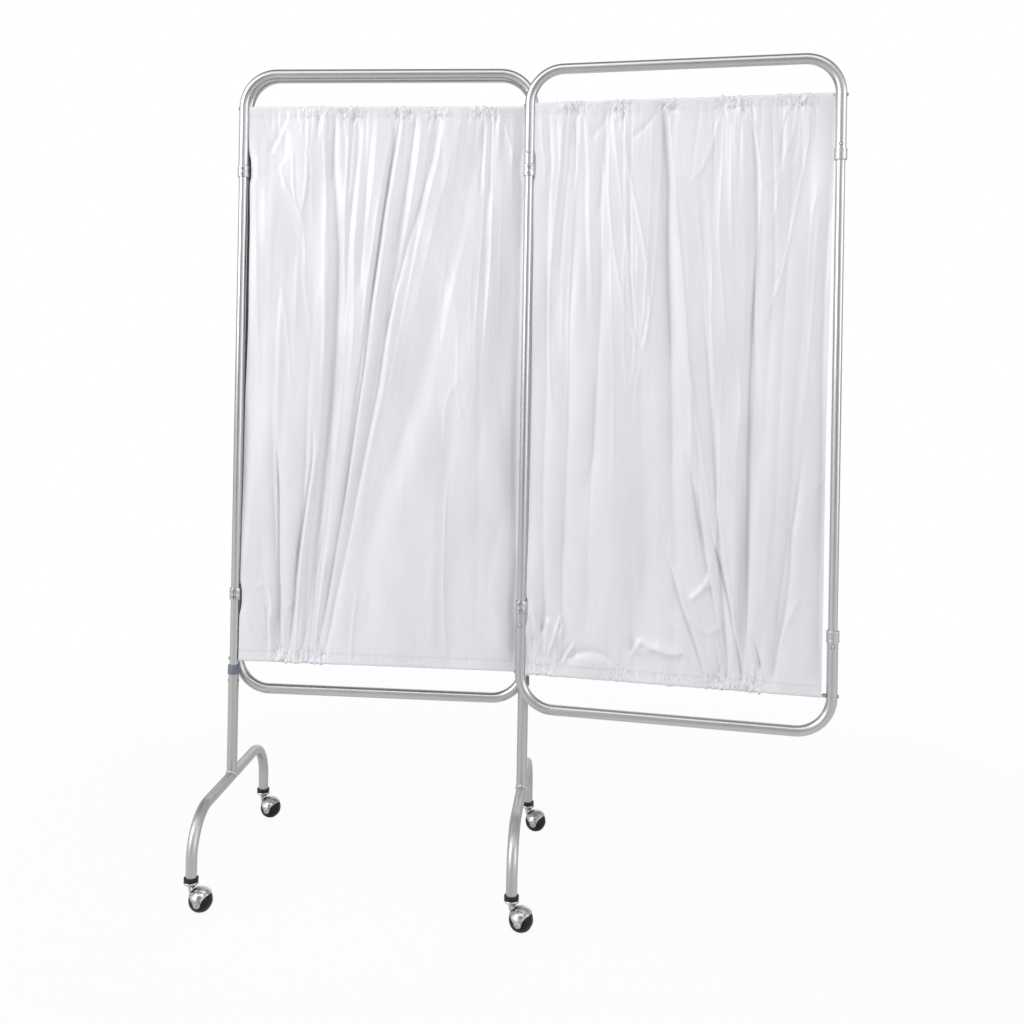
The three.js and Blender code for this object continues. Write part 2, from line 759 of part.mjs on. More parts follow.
// Wings. The left one is folded flat behind the centre frame and the right one is open
const rightClipTurn = THREE.MathUtils.degToRad(rightClipAngle);
const rightWingX = hingeSpacing * Math.sin(rightClipTurn);
const rightWingY = -hingeSpacing * Math.cos(rightClipTurn);
for (const [side, x, y, angle, rivetSide] of [
  ["left", -panelWidth, hingeSpacing, 0, 1],
  ["right", rightWingX, rightWingY, rightWingAngle, -1],
]) {
  const wing = new THREE.Group();
  wing.position.set(x, y, 0);
  wing.rotation.z = THREE.MathUtils.degToRad(angle);
  screen.add(wing);
  const name = `${side}_wing`;
  const tubeLow = wingBottomRail + bowLeg - tubeOverlap;
  const tubeHigh = topRail - bowLeg + tubeOverlap;
  addMesh(wing, `${name}_top_bow`, bow(topRail, 1, topRod, rivetSide), bowMetal);
  addMesh(wing, `${name}_bottom_bow`, bow(wingBottomRail, -1, wingBottomRod, rivetSide), bowMetal);
  addMesh(wing, `${name}_inner_tube`, sideTube(tubeLow, tubeHigh), tubeMetal);
  addMesh(wing, `${name}_outer_tube`, sideTube(tubeLow, tubeHigh), tubeMetal).position.x = panelWidth;
  const upper = addMesh(wing, `${name}_upper_ferrule`, ferrule(), tubeMetal);
  upper.position.set(panelWidth, 0, topRail - bowLeg);
  const lower = addMesh(wing, `${name}_lower_ferrule`, ferrule(), tubeMetal);
  lower.position.set(panelWidth, 0, wingBottomRail + bowLeg);
  lower.rotation.x = Math.PI;
  addMesh(wing, `${name}_top_rod`, curtainRod(bowRadius).translate(0, 0, topRod), rodMetal);
  addMesh(wing, `${name}_bottom_rod`, curtainRod(bowRadius).translate(0, 0, wingBottomRod), rodMetal);
  addMesh(wing, `${name}_curtain`, curtain(wingBottomRod, foldCounts[name], foldCrowdShares[name]), vinyl);
}

// Hinge clips, two on each side, pointing back on the left and forward on the right
for (const [side, x, angle] of [
  ["left", -panelWidth, 0],
  ["right", 0, Math.PI + rightClipTurn],
]) {
  for (const [level, z] of [
    ["upper", topRail - bowLeg - fit - clipHeight / 2],
    ["lower", wingBottomRail + bowLeg + fit + clipHeight / 2],
  ]) {
    const clip = new THREE.Group();
    clip.position.set(x, 0, z);
    clip.rotation.z = angle;
    screen.add(clip);
    addMesh(clip, `${side}_${level}_clip_half_a`, clipHalf(1), clipMetal);
    addMesh(clip, `${side}_${level}_clip_half_b`, clipHalf(-1), clipMetal);
    addMesh(clip, `${side}_${level}_clip_screw`, clipScrew(), brassMetal);
  }
}

export default screen;
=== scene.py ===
import math

import bmesh
import bpy
import numpy as np
from mathutils import Matrix


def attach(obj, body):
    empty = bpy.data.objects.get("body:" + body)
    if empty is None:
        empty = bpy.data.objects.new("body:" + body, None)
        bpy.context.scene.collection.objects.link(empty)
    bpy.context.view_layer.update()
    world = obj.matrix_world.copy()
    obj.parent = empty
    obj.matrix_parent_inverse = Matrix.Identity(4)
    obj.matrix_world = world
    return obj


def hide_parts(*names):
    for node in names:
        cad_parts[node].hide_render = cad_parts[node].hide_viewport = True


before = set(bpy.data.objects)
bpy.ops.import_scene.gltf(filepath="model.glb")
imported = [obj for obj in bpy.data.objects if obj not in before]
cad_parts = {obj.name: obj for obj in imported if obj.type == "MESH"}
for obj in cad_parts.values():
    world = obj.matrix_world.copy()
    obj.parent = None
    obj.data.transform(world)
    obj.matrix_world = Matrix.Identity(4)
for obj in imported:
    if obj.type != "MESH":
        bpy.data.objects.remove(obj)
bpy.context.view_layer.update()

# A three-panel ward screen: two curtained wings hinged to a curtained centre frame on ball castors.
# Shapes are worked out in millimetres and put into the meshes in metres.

mm = 0.001

# Shader nodes


def feed(tree, socket, value):
    # a socket is linked and anything else is set
    if hasattr(value, "is_linked"):
        tree.links.new(value, socket)
    else:
        socket.default_value = value


def addNode(tree, kind, inputs={}, **settings):
    node = tree.nodes.new("ShaderNode" + kind)
    for title, value in settings.items():
        setattr(node, title, value)
    for title, value in inputs.items():
        feed(tree, node.inputs[title], value)
    return node


def mathNode(tree, operation, *values, clamp=False):
    return addNode(tree, "Math", dict(enumerate(values)), operation=operation, use_clamp=clamp).outputs[0]


def mixShaders(tree, factor, first, second):
    return addNode(tree, "MixShader", {0: factor, 1: first.outputs[0], 2: second.outputs[0]})


def noiseNode(tree, vector, scale, detail=3.0, roughness=0.5, distortion=0.0):
    inputs = {"Vector": vector, "Scale": scale, "Detail": detail, "Roughness": roughness, "Distortion": distortion}
    return addNode(tree, "TexNoise", inputs).outputs["Fac"]


def stretched(tree, vector, scale):
    return addNode(tree, "Mapping", {"Vector": vector, "Scale": scale}).outputs[0]


def remap(tree, value, low, high, toLow, toHigh, easing="LINEAR"):
    inputs = {"Value": value, "From Min": low, "From Max": high, "To Min": toLow, "To Max": toHigh}
    return addNode(tree, "MapRange", inputs, interpolation_type=easing).outputs[0]


def blendColours(tree, factor, low, high):
    return addNode(tree, "Mix", {0: factor, 6: low, 7: high}, data_type="RGBA").outputs[2]


def bumpFrom(tree, shader, height, distance, strength=1.0):
    bump = addNode(tree, "Bump", {"Height": height, "Distance": distance, "Strength": strength})
    feed(tree, shader.inputs["Normal"], bump.outputs[0])


def emptyTree(owner):
    owner.use_nodes = True
    owner.node_tree.nodes.clear()
    return owner.node_tree


def newGroup(name, inputs, outputs):
    # inputs: title, kind and value or None; outputs: title and kind
    tree = bpy.data.node_groups.new(name, "ShaderNodeTree")
    for title, kind, value in inputs:
        socket = tree.interface.new_socket(title, in_out="INPUT", socket_type="NodeSocket" + kind)
        if value is not None:
            socket.default_value = value
    for title, kind in outputs:
        tree.interface.new_socket(title, in_out="OUTPUT", socket_type="NodeSocket" + kind)
    return tree, tree.nodes.new("NodeGroupInput").outputs, tree.nodes.new("NodeGroupOutput").inputs


# Camera, floor and light

cameraView = {
    "place": (155.7, -2381.0, 1082.0),
    "yaw": -0.08059,     # radians, left of straight on
    "pitch": 0.00583,
    "roll": 0.01799,
    "sensor": 36.0,
    "lens": 36.0 * 1112 / 1024,
    "shift": -150 / 1024,
    "farthest": 60.0,
}

studio = {
    "floorSize": 14.0,
    "floorColour": (0.76, 0.76, 0.768, 1.0),
    "floorGlow": 0.94,        # share of the floor that shows as plain white to the camera, near the legs
    "floorFade": (0.9, 2.6),  # metres from the legs over which it goes all white
    "floorMirrored": 0.76,    # share of that white which metal mirrors, times the room's level on that side
    "floorCentre": (-0.1, 0.0, 0.0),
    "backdropColour": (1.0, 1.0, 1.0, 1.0),
    "fillLevel": 0.57,
    # share of the half circle from the viewer to straight behind, and the level that metal mirrors there
    "mirrored": [(0.0, 0.44), (0.08, 0.48), (0.16, 0.94), (0.48, 0.98), (0.58, 0.5), (0.84, 0.44), (0.93, 0.96)],
    # its strength by height: the level below the horizon, at it, and above
    "mirroredRise": [(-0.35, 0.4), (0.0, 0.98), (0.26, 1.6), (0.5, 1.1), (0.9, 0.55)],
    "mirroredMost": 2.0,
    "lamps": [
        # name, place, aim, size, watts, seen in metal: the lamp behind only lights the cloth's back
        ("overheadSoftbox", (0.0, -1.9, 3.6), (0.0, 0.0, 0.8), (3.0, 1.8), 23.0, True),
        ("leftSoftbox", (-3.0, -2.3, 2.6), (0.0, 0.0, 1.2), (2.0, 3.0), 66.0, True),
        ("rightSoftbox", (3.9, -1.9, 1.6), (0.0, 0.0, 0.9), (1.4, 2.6), 20.0, True),
        ("backSoftbox", (0.4, 3.4, 2.6), (0.0, 0.0, 0.8), (2.6, 1.8), 48.0, False),
    ],
}


def placeAlong(name, data, right, up, back, place):
    # links a camera or a lamp at a place in metres, with its own axes along the three given ones
    item = bpy.data.objects.new(name, data)
    bpy.context.scene.collection.objects.link(item)
    turn = np.eye(4)
    turn[:3, 0], turn[:3, 1], turn[:3, 2], turn[:3, 3] = right, up, back, place
    item.matrix_world = Matrix(turn.tolist())
    return item


def aimCamera():
    yaw, pitch, roll = cameraView["yaw"], cameraView["pitch"], cameraView["roll"]
    ahead = np.array([math.sin(yaw) * math.cos(pitch), math.cos(yaw) * math.cos(pitch), math.sin(pitch)])
    right = np.array([math.cos(yaw), -math.sin(yaw), 0.0])
    up = np.cross(right, ahead)
    right, up = math.cos(roll) * right + math.sin(roll) * up, math.cos(roll) * up - math.sin(roll) * right
    data = bpy.data.cameras.new("photoCamera")
    data.sensor_width = cameraView["sensor"]
    data.lens = cameraView["lens"]
    data.shift_y = cameraView["shift"]
    data.clip_end = cameraView["farthest"]
    bpy.context.scene.camera = placeAlong("photoCamera", data, right, up, -ahead, np.array(cameraView["place"]) * mm)


def mirroredRoomGroup():
    # what metal mirrors by the share of the half circle from the viewer to straight behind, atan2(|x|, -y) / pi:
    # a dark gap, pale walls, darker walls and the white backdrop
    tree, start, end = newGroup("mirroredRoom", [("Vector", "Vector", None)], [("Level", "Color")])
    parts = addNode(tree, "SeparateXYZ", {0: start["Vector"]}).outputs
    side = mathNode(tree, "ABSOLUTE", parts["X"])
    front = mathNode(tree, "MULTIPLY", parts["Y"], -1.0)
    share = mathNode(tree, "DIVIDE", mathNode(tree, "ARCTAN2", side, front), math.pi)
    ramp = addNode(tree, "ValToRGB", {"Fac": share})
    elements = ramp.color_ramp.elements
    for place, level in studio["mirrored"][len(elements):]:
        elements.new(place)
    for element, (place, level) in zip(elements, studio["mirrored"]):
        element.position = place
        element.color = (level, level, level, 1.0)
    feed(tree, end["Level"], ramp.outputs["Color"])
    return tree


groups = {"room": mirroredRoomGroup()}


def groupNode(tree, which, **inputs):
    return addNode(tree, "Group", inputs, node_tree=groups[which]).outputs


def paintFloor(material):
    # the camera sees the floor nearly white and metal mirrors a share of that, while shadows fall on its paint
    tree = emptyTree(material)
    rays = addNode(tree, "LightPath").outputs
    spot = addNode(tree, "TexCoord").outputs["Object"]
    away = addNode(tree, "VectorMath", {0: spot}, operation="LENGTH").outputs["Value"]
    fade = remap(tree, away, *studio["floorFade"], studio["floorGlow"], 1.0, "SMOOTHSTEP")
    fromCentre = addNode(tree, "VectorMath", {0: spot, 1: studio["floorCentre"]}, operation="SUBTRACT").outputs[0]
    level = groupNode(tree, "room", Vector=fromCentre)["Level"]
    mirrored = mathNode(tree, "MULTIPLY", rays["Is Glossy Ray"], level)
    mirrored = mathNode(tree, "MULTIPLY", mirrored, studio["floorMirrored"])
    share = mathNode(tree, "MULTIPLY", mathNode(tree, "MAXIMUM", rays["Is Camera Ray"], mirrored), fade)
    paint = addNode(tree, "BsdfDiffuse", {"Color": studio["floorColour"]})
    surface = mixShaders(tree, share, paint, addNode(tree, "Emission"))
    addNode(tree, "OutputMaterial", {"Surface": surface.outputs[0]})


def heightCurve(tree, height):
    # the level by height: a curve from 0 to 1 stands for heights from -1 to 1 and levels up to mirroredMost
    most = studio["mirroredMost"]
    lift = addNode(tree, "FloatCurve", {"Value": mathNode(tree, "MULTIPLY_ADD", height, 0.5, 0.5)})
    lift.mapping.use_clip = False
    curve = lift.mapping.curves[0]
    stops = [((rise + 1) / 2, level / most) for rise, level in studio["mirroredRise"]]
    for stop in stops[1:-1]:
        curve.points.new(*stop)
    for point, stop in zip(curve.points, stops):
        point.location = stop
        point.handle_type = "VECTOR"
    lift.mapping.update()
    return mathNode(tree, "MULTIPLY", lift.outputs[0], most)


def paintWorld(world):
    # the camera sees plain white, metal mirrors the room, and everything else is lit by an even fill
    tree = emptyTree(world)
    direction = addNode(tree, "TexCoord").outputs["Generated"]
    height = addNode(tree, "SeparateXYZ", {0: direction}).outputs["Z"]
    level = groupNode(tree, "room", Vector=direction)["Level"]
    mirrored = addNode(tree, "Background", {"Color": level, "Strength": heightCurve(tree, height)})
    fill = addNode(tree, "Background", {"Strength": studio["fillLevel"]})
    seen = addNode(tree, "Background", {"Color": studio["backdropColour"]})
    rays = addNode(tree, "LightPath").outputs
    inside = mixShaders(tree, rays["Is Glossy Ray"], fill, mirrored)
    surface = mixShaders(tree, rays["Is Camera Ray"], inside, seen)
    addNode(tree, "OutputWorld", {"Surface": surface.outputs[0]})


def setUpStudio():
    scene = bpy.context.scene
    scene.view_settings.view_transform = "Standard"
    half = studio["floorSize"] / 2
    mesh = bpy.data.meshes.new("studioFloor")
    mesh.from_pydata([(-half, -half, 0), (half, -half, 0), (half, half, 0), (-half, half, 0)], [], [(0, 1, 2, 3)])
    floor = bpy.data.objects.new("studioFloor", mesh)
    scene.collection.objects.link(floor)
    mesh.materials.append(bpy.data.materials.new("paleFloor"))
    paintFloor(mesh.materials[0])
    scene.world = bpy.data.worlds.new("studioWorld")
    paintWorld(scene.world)
    for name, place, aim, size, watts, inMetal in studio["lamps"]:
        lamp = bpy.data.lights.new(name, "AREA")
        lamp.shape = "RECTANGLE"
        lamp.size, lamp.size_y = size
        lamp.energy = watts
        back = np.array(place) - np.array(aim)
        back /= np.linalg.norm(back)
        across = np.cross([0.0, 0.0, 1.0], back)
        across /= np.linalg.norm(across)
        placeAlong(name, lamp, across, np.cross(back, across), back, place).visible_glossy = inMetal


aimCamera()
setUpStudio()
print("camera, floor and light are set")

# Finishes


def drawnGrainGroup():
    # fine lines along a drawn tube: noise that is long along the surface and short across it
    tree, start, end = newGroup(
        "drawnGrain",
        [("Vector", "Vector", None), ("Amount", "Float", 1.0)],
        [("Shade", "Float"), ("Height", "Float")],
    )
    fine = noiseNode(tree, stretched(tree, start["Vector"], (2.2, 0.012, 1.0)), 1.0, 4.0, 0.6)
    broad = noiseNode(tree, stretched(tree, start["Vector"], (0.5, 0.004, 1.0)), 1.0, 2.0, 0.5)
    both = mathNode(tree, "MULTIPLY_ADD", fine, 0.6, mathNode(tree, "MULTIPLY", broad, 0.4))
    centred = mathNode(tree, "MULTIPLY", mathNode(tree, "SUBTRACT", both, 0.5), start["Amount"])
    feed(tree, end["Shade"], mathNode(tree, "ADD", centred, 0.5))
    feed(tree, end["Height"], centred)
    return tree


def handlingGroup():
    # cloudy patches and small scuffs left by hands and cloths
    tree, start, end = newGroup(
        "handlingMarks",
        [("Vector", "Vector", None), ("Size", "Float", 14.0)],
        [("Cloud", "Float"), ("Scuff", "Float")],
    )
    cloud = noiseNode(tree, start["Vector"], start["Size"], 4.0, 0.55, 0.4)
    feed(tree, end["Cloud"], remap(tree, cloud, 0.35, 0.7, 0.0, 1.0))
    scuff = noiseNode(tree, start["Vector"], mathNode(tree, "MULTIPLY", start["Size"], 9.0), 3.0, 0.7, 0.8)
    feed(tree, end["Scuff"], remap(tree, scuff, 0.62, 0.74, 0.0, 1.0))
    return tree


groups["grain"] = drawnGrainGroup()
groups["handling"] = handlingGroup()


def newFinish(name, **inputs):
    # the titles of the shader's constant inputs are written with _ for a space
    material = bpy.data.materials.new(name)
    tree = emptyTree(material)
    shader = addNode(tree, "BsdfPrincipled", {title.replace("_", " "): value for title, value in inputs.items()})
    addNode(tree, "OutputMaterial", {"Surface": shader.outputs[0]})
    return material, tree, shader


def surfaceVector(tree):
    return addNode(tree, "UVMap", uv_map="surfaceMm").outputs[0]


def objectVector(tree):
    return addNode(tree, "TexCoord").outputs["Object"]


def attributeValue(tree, title):
    return addNode(tree, "Attribute", attribute_name=title).outputs["Fac"]


def drawnMetal(name, dark, light, smooth, rough, grain=1.0, marks=16.0):
    # tone, roughness and relief follow the drawn grain, and handling dulls it in patches
    material, tree, shader = newFinish(name, Metallic=1.0)
    lines = groupNode(tree, "grain", Vector=surfaceVector(tree), Amount=grain)
    hands = groupNode(tree, "handling", Vector=objectVector(tree), Size=marks)
    feed(tree, shader.inputs["Base Color"], blendColours(tree, lines["Shade"], (*dark, 1.0), (*light, 1.0)))
    dulled = mathNode(tree, "MULTIPLY_ADD", hands["Cloud"], 0.07, mathNode(tree, "MULTIPLY", hands["Scuff"], 0.05))
    base = remap(tree, lines["Shade"], 0.3, 0.7, smooth, rough)
    feed(tree, shader.inputs["Roughness"], mathNode(tree, "ADD", base, dulled, clamp=True))
    bumpFrom(tree, shader, lines["Height"], 0.00006)
    return material


def clouded(tree, shader, vector, marks, clear, cloudy, smooth, rough, scuffed):
    # tone and roughness follow the cloudy patches, and scuffs are rougher
    hands = groupNode(tree, "handling", Vector=vector, Size=marks)
    feed(tree, shader.inputs["Base Color"], blendColours(tree, hands["Cloud"], (*clear, 1.0), (*cloudy, 1.0)))
    base = remap(tree, hands["Cloud"], 0.0, 1.0, smooth, rough)
    total = mathNode(tree, "ADD", base, mathNode(tree, "MULTIPLY", hands["Scuff"], scuffed), clamp=True)
    feed(tree, shader.inputs["Roughness"], total)


def mouldedPlastic(name, dark, light, smooth, rough, marks=40.0, pebble=900.0, coat=0.0, specular=0.5):
    material, tree, shader = newFinish(name, Specular_IOR_Level=specular, Coat_Weight=coat, Coat_Roughness=0.12)
    vector = objectVector(tree)
    clouded(tree, shader, vector, marks, dark, light, smooth, rough, 0.12)
    bumpFrom(tree, shader, noiseNode(tree, vector, pebble, 2.0), 0.00005)
    return material


def platedMetal(name, dark, light, smooth, rough, marks=60.0):
    material, tree, shader = newFinish(name, Metallic=1.0)
    vector = objectVector(tree)
    clouded(tree, shader, vector, marks, light, dark, smooth, rough, 0.1)
    bumpFrom(tree, shader, noiseNode(tree, vector, marks * 3, 3.0, 0.6), 0.00012)
    return material


# shade is the colour that the painted shade of the folds' hollows and the hems' creases blends towards
vinyl = {
    "dark": (0.836, 0.842, 0.881, 1.0), "light": (0.881, 0.887, 0.923, 1.0), "shade": (0.36, 0.365, 0.41, 1.0),
    "roughness": 0.42, "coat": 0.34, "coatRoughness": 0.16, "hollowShade": 0.75, "creaseShade": 0.55,
    "wrinkle": 0.8, "emboss": 0.03, "crumple": 1.6, "relief": 0.0008, "reliefShare": 0.6,
}


def vinylSheet(name):
    material, tree, shader = newFinish(
        name, Roughness=vinyl["roughness"], Coat_Weight=vinyl["coat"], Coat_Roughness=vinyl["coatRoughness"],
    )
    vector = surfaceVector(tree)
    cloud = noiseNode(tree, stretched(tree, vector, (0.011, 0.004, 1.0)), 1.0, 3.0, 0.55)
    sheet = blendColours(tree, remap(tree, cloud, 0.3, 0.7, 0.0, 1.0), vinyl["dark"], vinyl["light"])
    # painted shade: little light comes back out of the folds' hollows and the crushed hems' creases, so the base
    # colour is blended towards the shade colour there
    crumple = noiseNode(tree, stretched(tree, vector, (0.27, 0.13, 1.0)), 1.0, 1.0, 0.5, 0.6)
    crushed = attributeValue(tree, "crushed")
    creaseShade = mathNode(tree, "MULTIPLY", remap(tree, crumple, 0.5, 0.3, 0.0, vinyl["creaseShade"]), crushed)
    hollowShade = attributeValue(tree, "hollowShade")
    darker = mathNode(tree, "MULTIPLY_ADD", hollowShade, vinyl["hollowShade"], creaseShade, clamp=True)
    feed(tree, shader.inputs["Base Color"], blendColours(tree, darker, sheet, vinyl["shade"]))
    # faint wrinkles along the sheet, the crumple of the hems, and the fine pebble of its emboss
    wrinkle = noiseNode(tree, stretched(tree, vector, (0.05, 0.008, 1.0)), 1.0, 3.0, 0.55, 0.3)
    emboss = mathNode(tree, "MULTIPLY", noiseNode(tree, vector, 0.9, 2.0, 0.5), vinyl["emboss"])
    height = mathNode(tree, "MULTIPLY_ADD", wrinkle, vinyl["wrinkle"], emboss)
    crumpled = mathNode(tree, "MULTIPLY", mathNode(tree, "MULTIPLY", crumple, vinyl["crumple"]), crushed)
    bumpFrom(tree, shader, mathNode(tree, "ADD", height, crumpled), vinyl["relief"], vinyl["reliefShare"])
    return material


# each finish: dark and light tone, and the roughness where it is smoothest and roughest
finishes = {
    "bow": drawnMetal("satinBowAluminium", (0.44, 0.444, 0.45), (0.60, 0.604, 0.61), 0.18, 0.26),
    "tube": drawnMetal("satinTubeAluminium", (0.45, 0.454, 0.46), (0.63, 0.634, 0.64), 0.16, 0.25),
    "base": drawnMetal("mattGreyAluminium", (0.41, 0.407, 0.403), (0.58, 0.576, 0.57), 0.3, 0.42, 0.9, 20.0),
    "rod": drawnMetal("zincRodSteel", (0.38, 0.385, 0.39), (0.55, 0.55, 0.55), 0.25, 0.4),
    "clip": platedMetal("castClipAluminium", (0.46, 0.465, 0.47), (0.68, 0.685, 0.69), 0.2, 0.36),
    # painted shade: a near-black finish laid where shade falls, on rivet seats, in the clips' dimples and in the
    # screws' slots
    "paintedShade": platedMetal("clipRecessShade", (0.03, 0.03, 0.032), (0.07, 0.07, 0.075), 0.5, 0.7),
    "brass": platedMetal("yellowScrewPlate", (0.34, 0.16, 0.05), (0.56, 0.32, 0.10), 0.3, 0.45),
    "collar": mouldedPlastic("blueGreyCollar", (0.17, 0.19, 0.25), (0.225, 0.245, 0.31), 0.36, 0.5),
    "sleeve": mouldedPlastic(
        "blackSleevePlastic", (0.009, 0.009, 0.010), (0.017, 0.017, 0.018), 0.4, 0.55, specular=0.32,
    ),
    "castor": platedMetal("brightZincPlate", (0.39, 0.393, 0.38), (0.62, 0.62, 0.6), 0.09, 0.22),
    "wheel": mouldedPlastic(
        "blackWheelPlastic", (0.004, 0.004, 0.005), (0.009, 0.009, 0.010), 0.26, 0.44, 60.0, 700.0, 0.03, 0.22,
    ),
    "vinyl": vinylSheet("whiteVinyl"),
}
print("finishes are made")

# Surfaces as arrays


def patch(points, across, along, finish=0):
    # points are rows by columns by 3 in mm; across and along are mm on the surface, by column and by row. One quad
    # lies between each four neighbours
    rows, columns = points.shape[:2]
    r, c = np.meshgrid(np.arange(rows - 1), np.arange(columns - 1), indexing="ij")
    first = r * columns + c
    quads = np.stack([first, first + 1, first + columns + 1, first + columns], axis=-1).reshape(-1, 4)
    return {"points": points, "uv": np.stack([across, along], axis=-1), "quads": quads, "finish": finish}


def spread(across, along):
    # a row of values and a column of values over the whole grid
    return np.broadcast_arrays(np.asarray(across)[None, :], np.asarray(along)[:, None])


def lengthAlong(points):
    # the length of a line of points up to each of them
    return np.concatenate([[0.0], np.cumsum(np.linalg.norm(np.diff(points, axis=0), axis=1))])


def put(part, x=0.0, y=0.0, z=0.0, angle=0.0):
    # turns a patch about the vertical and moves it
    c, s = math.cos(math.radians(angle)), math.sin(math.radians(angle))
    turn = np.array([[c, s, 0.0], [-s, c, 0.0], [0.0, 0.0, 1.0]])
    return {**part, "points": part["points"] @ turn + np.array([x, y, z])}


def swapped(part, order, signs=(1, 1, 1)):
    # relabels the axes, so that what was turned about Z lies along another one
    return {**part, "points": part["points"][..., list(order)] * np.array(signs)}


mergeWithin = {"verts": 2e-6, "edges": 1e-6}


def makePiece(name, body, parts, looks, closed=True, sharp=34.0, node=None):
    # one mesh from all the patches, with its seams and poles merged. It stands for the solid of the same name with _
    # before each word, unless a node is given
    verts = np.concatenate([p["points"].reshape(-1, 3) for p in parts]) * mm
    offsets = np.cumsum([0] + [p["points"][..., 0].size for p in parts[:-1]])
    quads = np.concatenate([p["quads"] + o for p, o in zip(parts, offsets)])
    uvs = np.concatenate([p["uv"].reshape(-1, 2) for p in parts])
    finish = np.concatenate([np.full(len(p["quads"]), p["finish"]) for p in parts])
    mesh = bpy.data.meshes.new(name)
    mesh.vertices.add(len(verts))
    mesh.vertices.foreach_set("co", verts.astype(np.float32).ravel())
    mesh.loops.add(quads.size)
    mesh.loops.foreach_set("vertex_index", quads.astype(np.int32).ravel())
    mesh.polygons.add(len(quads))
    mesh.polygons.foreach_set("loop_start", np.arange(0, quads.size, 4, dtype=np.int32))
    mesh.polygons.foreach_set("material_index", finish.astype(np.int32))
    mesh.update(calc_edges=True)
    layer = mesh.uv_layers.new(name="surfaceMm")
    layer.data.foreach_set("uv", uvs[quads.ravel()].astype(np.float32).ravel())
    # the curtains' painted shade and their crushed share go on their points as attributes
    for title in ("hollowShade", "crushed"):
        if title in parts[0]:
            values = np.concatenate([p[title].ravel() for p in parts])
            mesh.attributes.new(title, "FLOAT", "POINT").data.foreach_set("value", values.astype(np.float32))
    for look in looks:
        mesh.materials.append(finishes[look])
    work = bmesh.new()
    work.from_mesh(mesh)
    bmesh.ops.remove_doubles(work, verts=work.verts, dist=mergeWithin["verts"])
    bmesh.ops.dissolve_degenerate(work, edges=work.edges, dist=mergeWithin["edges"])
    if closed:
        bmesh.ops.recalc_face_normals(work, faces=work.faces)
    work.to_mesh(mesh)
    work.free()
    mesh.polygons.foreach_set("use_smooth", np.ones(len(mesh.polygons), dtype=bool))
    mesh.set_sharp_from_angle(angle=math.radians(sharp))
    piece = bpy.data.objects.new(name, mesh)
    bpy.context.scene.collection.objects.link(piece)
    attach(piece, body)
    if node is None:
        node = "".join("_" + letter.lower() if letter.isupper() else letter for letter in name)
    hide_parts(node)
    return piece


def softened(outline, radius=0.5, steps=4):
    # each corner becomes a short curve: (1-t)^2 before + 2t(1-t) corner + t^2 after
    outline = np.asarray(outline, dtype=float)
    before, corner, after = outline[:-2], outline[1:-1], outline[2:]
    back, ahead = before - corner, after - corner
    backLong = np.linalg.norm(back, axis=1, keepdims=True)
    aheadLong = np.linalg.norm(ahead, axis=1, keepdims=True)
    reach = np.minimum(radius, 0.42 * np.minimum(backLong, aheadLong))
    start = corner + back / np.maximum(backLong, 1e-9) * reach
    stop = corner + ahead / np.maximum(aheadLong, 1e-9) * reach
    t = np.linspace(0.0, 1.0, steps)[None, :, None]
    curve = (1 - t) ** 2 * start[:, None] + 2 * t * (1 - t) * corner[:, None] + t ** 2 * stop[:, None]
    # a spot just before and just after each curve keeps the flats flat
    hold = np.stack([start + (start - corner) * 0.25, stop + (stop - corner) * 0.25], axis=1)
    rounded = np.concatenate([hold[:, :1], curve, hold[:, 1:]], axis=1).reshape(-1, 2)
    return np.concatenate([outline[:1], rounded, outline[-1:]])


def turnedPatch(outline, sides=48, finish=0, hexagon=None):
    # (radius, height) pairs carried round Z: x = r cos a, y = r sin a. Where hexagon is set the radius follows six
    # flats
    outline = np.asarray(outline, dtype=float)
    a = np.linspace(0.0, 2 * math.pi, sides + 1)
    radius = np.repeat(outline[:, :1], sides + 1, axis=1)
    if hexagon is not None:
        flat = math.cos(math.pi / 6) / np.cos((a % (math.pi / 3)) - math.pi / 6)
        radius = np.where(np.asarray(hexagon)[:, None], radius * flat[None, :], radius)
    height = np.repeat(outline[:, 1:], sides + 1, axis=1)
    points = np.stack([radius * np.cos(a), radius * np.sin(a), height], axis=-1)
    return patch(points, *spread(a * max(outline[:, 0].max(), 1.0), lengthAlong(outline)), finish)


def bentLine(corners, bendRadius, steps=16):
    # straight runs joined by arcs, as points and directions: first + R (sin a incoming + (1 - cos a) inward)
    corners = [np.asarray(c, dtype=float) for c in corners]
    start = corners[1] - corners[0]
    points, ways = [corners[0]], [start / np.linalg.norm(start)]
    for before, corner, after in zip(corners[:-2], corners[1:-1], corners[2:]):
        incoming = (corner - before) / np.linalg.norm(corner - before)
        outgoing = (after - corner) / np.linalg.norm(after - corner)
        bend = math.acos(float(np.clip(incoming @ outgoing, -1, 1)))
        inward = outgoing - incoming * math.cos(bend)
        inward /= np.linalg.norm(inward)
        first = corner - incoming * bendRadius * math.tan(bend / 2)
        a = np.linspace(0.0, bend, steps + 1)[:, None]
        points += list(first + bendRadius * (np.sin(a) * incoming + (1 - np.cos(a)) * inward))
        ways += list(np.cos(a) * incoming + np.sin(a) * inward)
    return np.array(points + [corners[-1]]), np.array(ways + [outgoing])


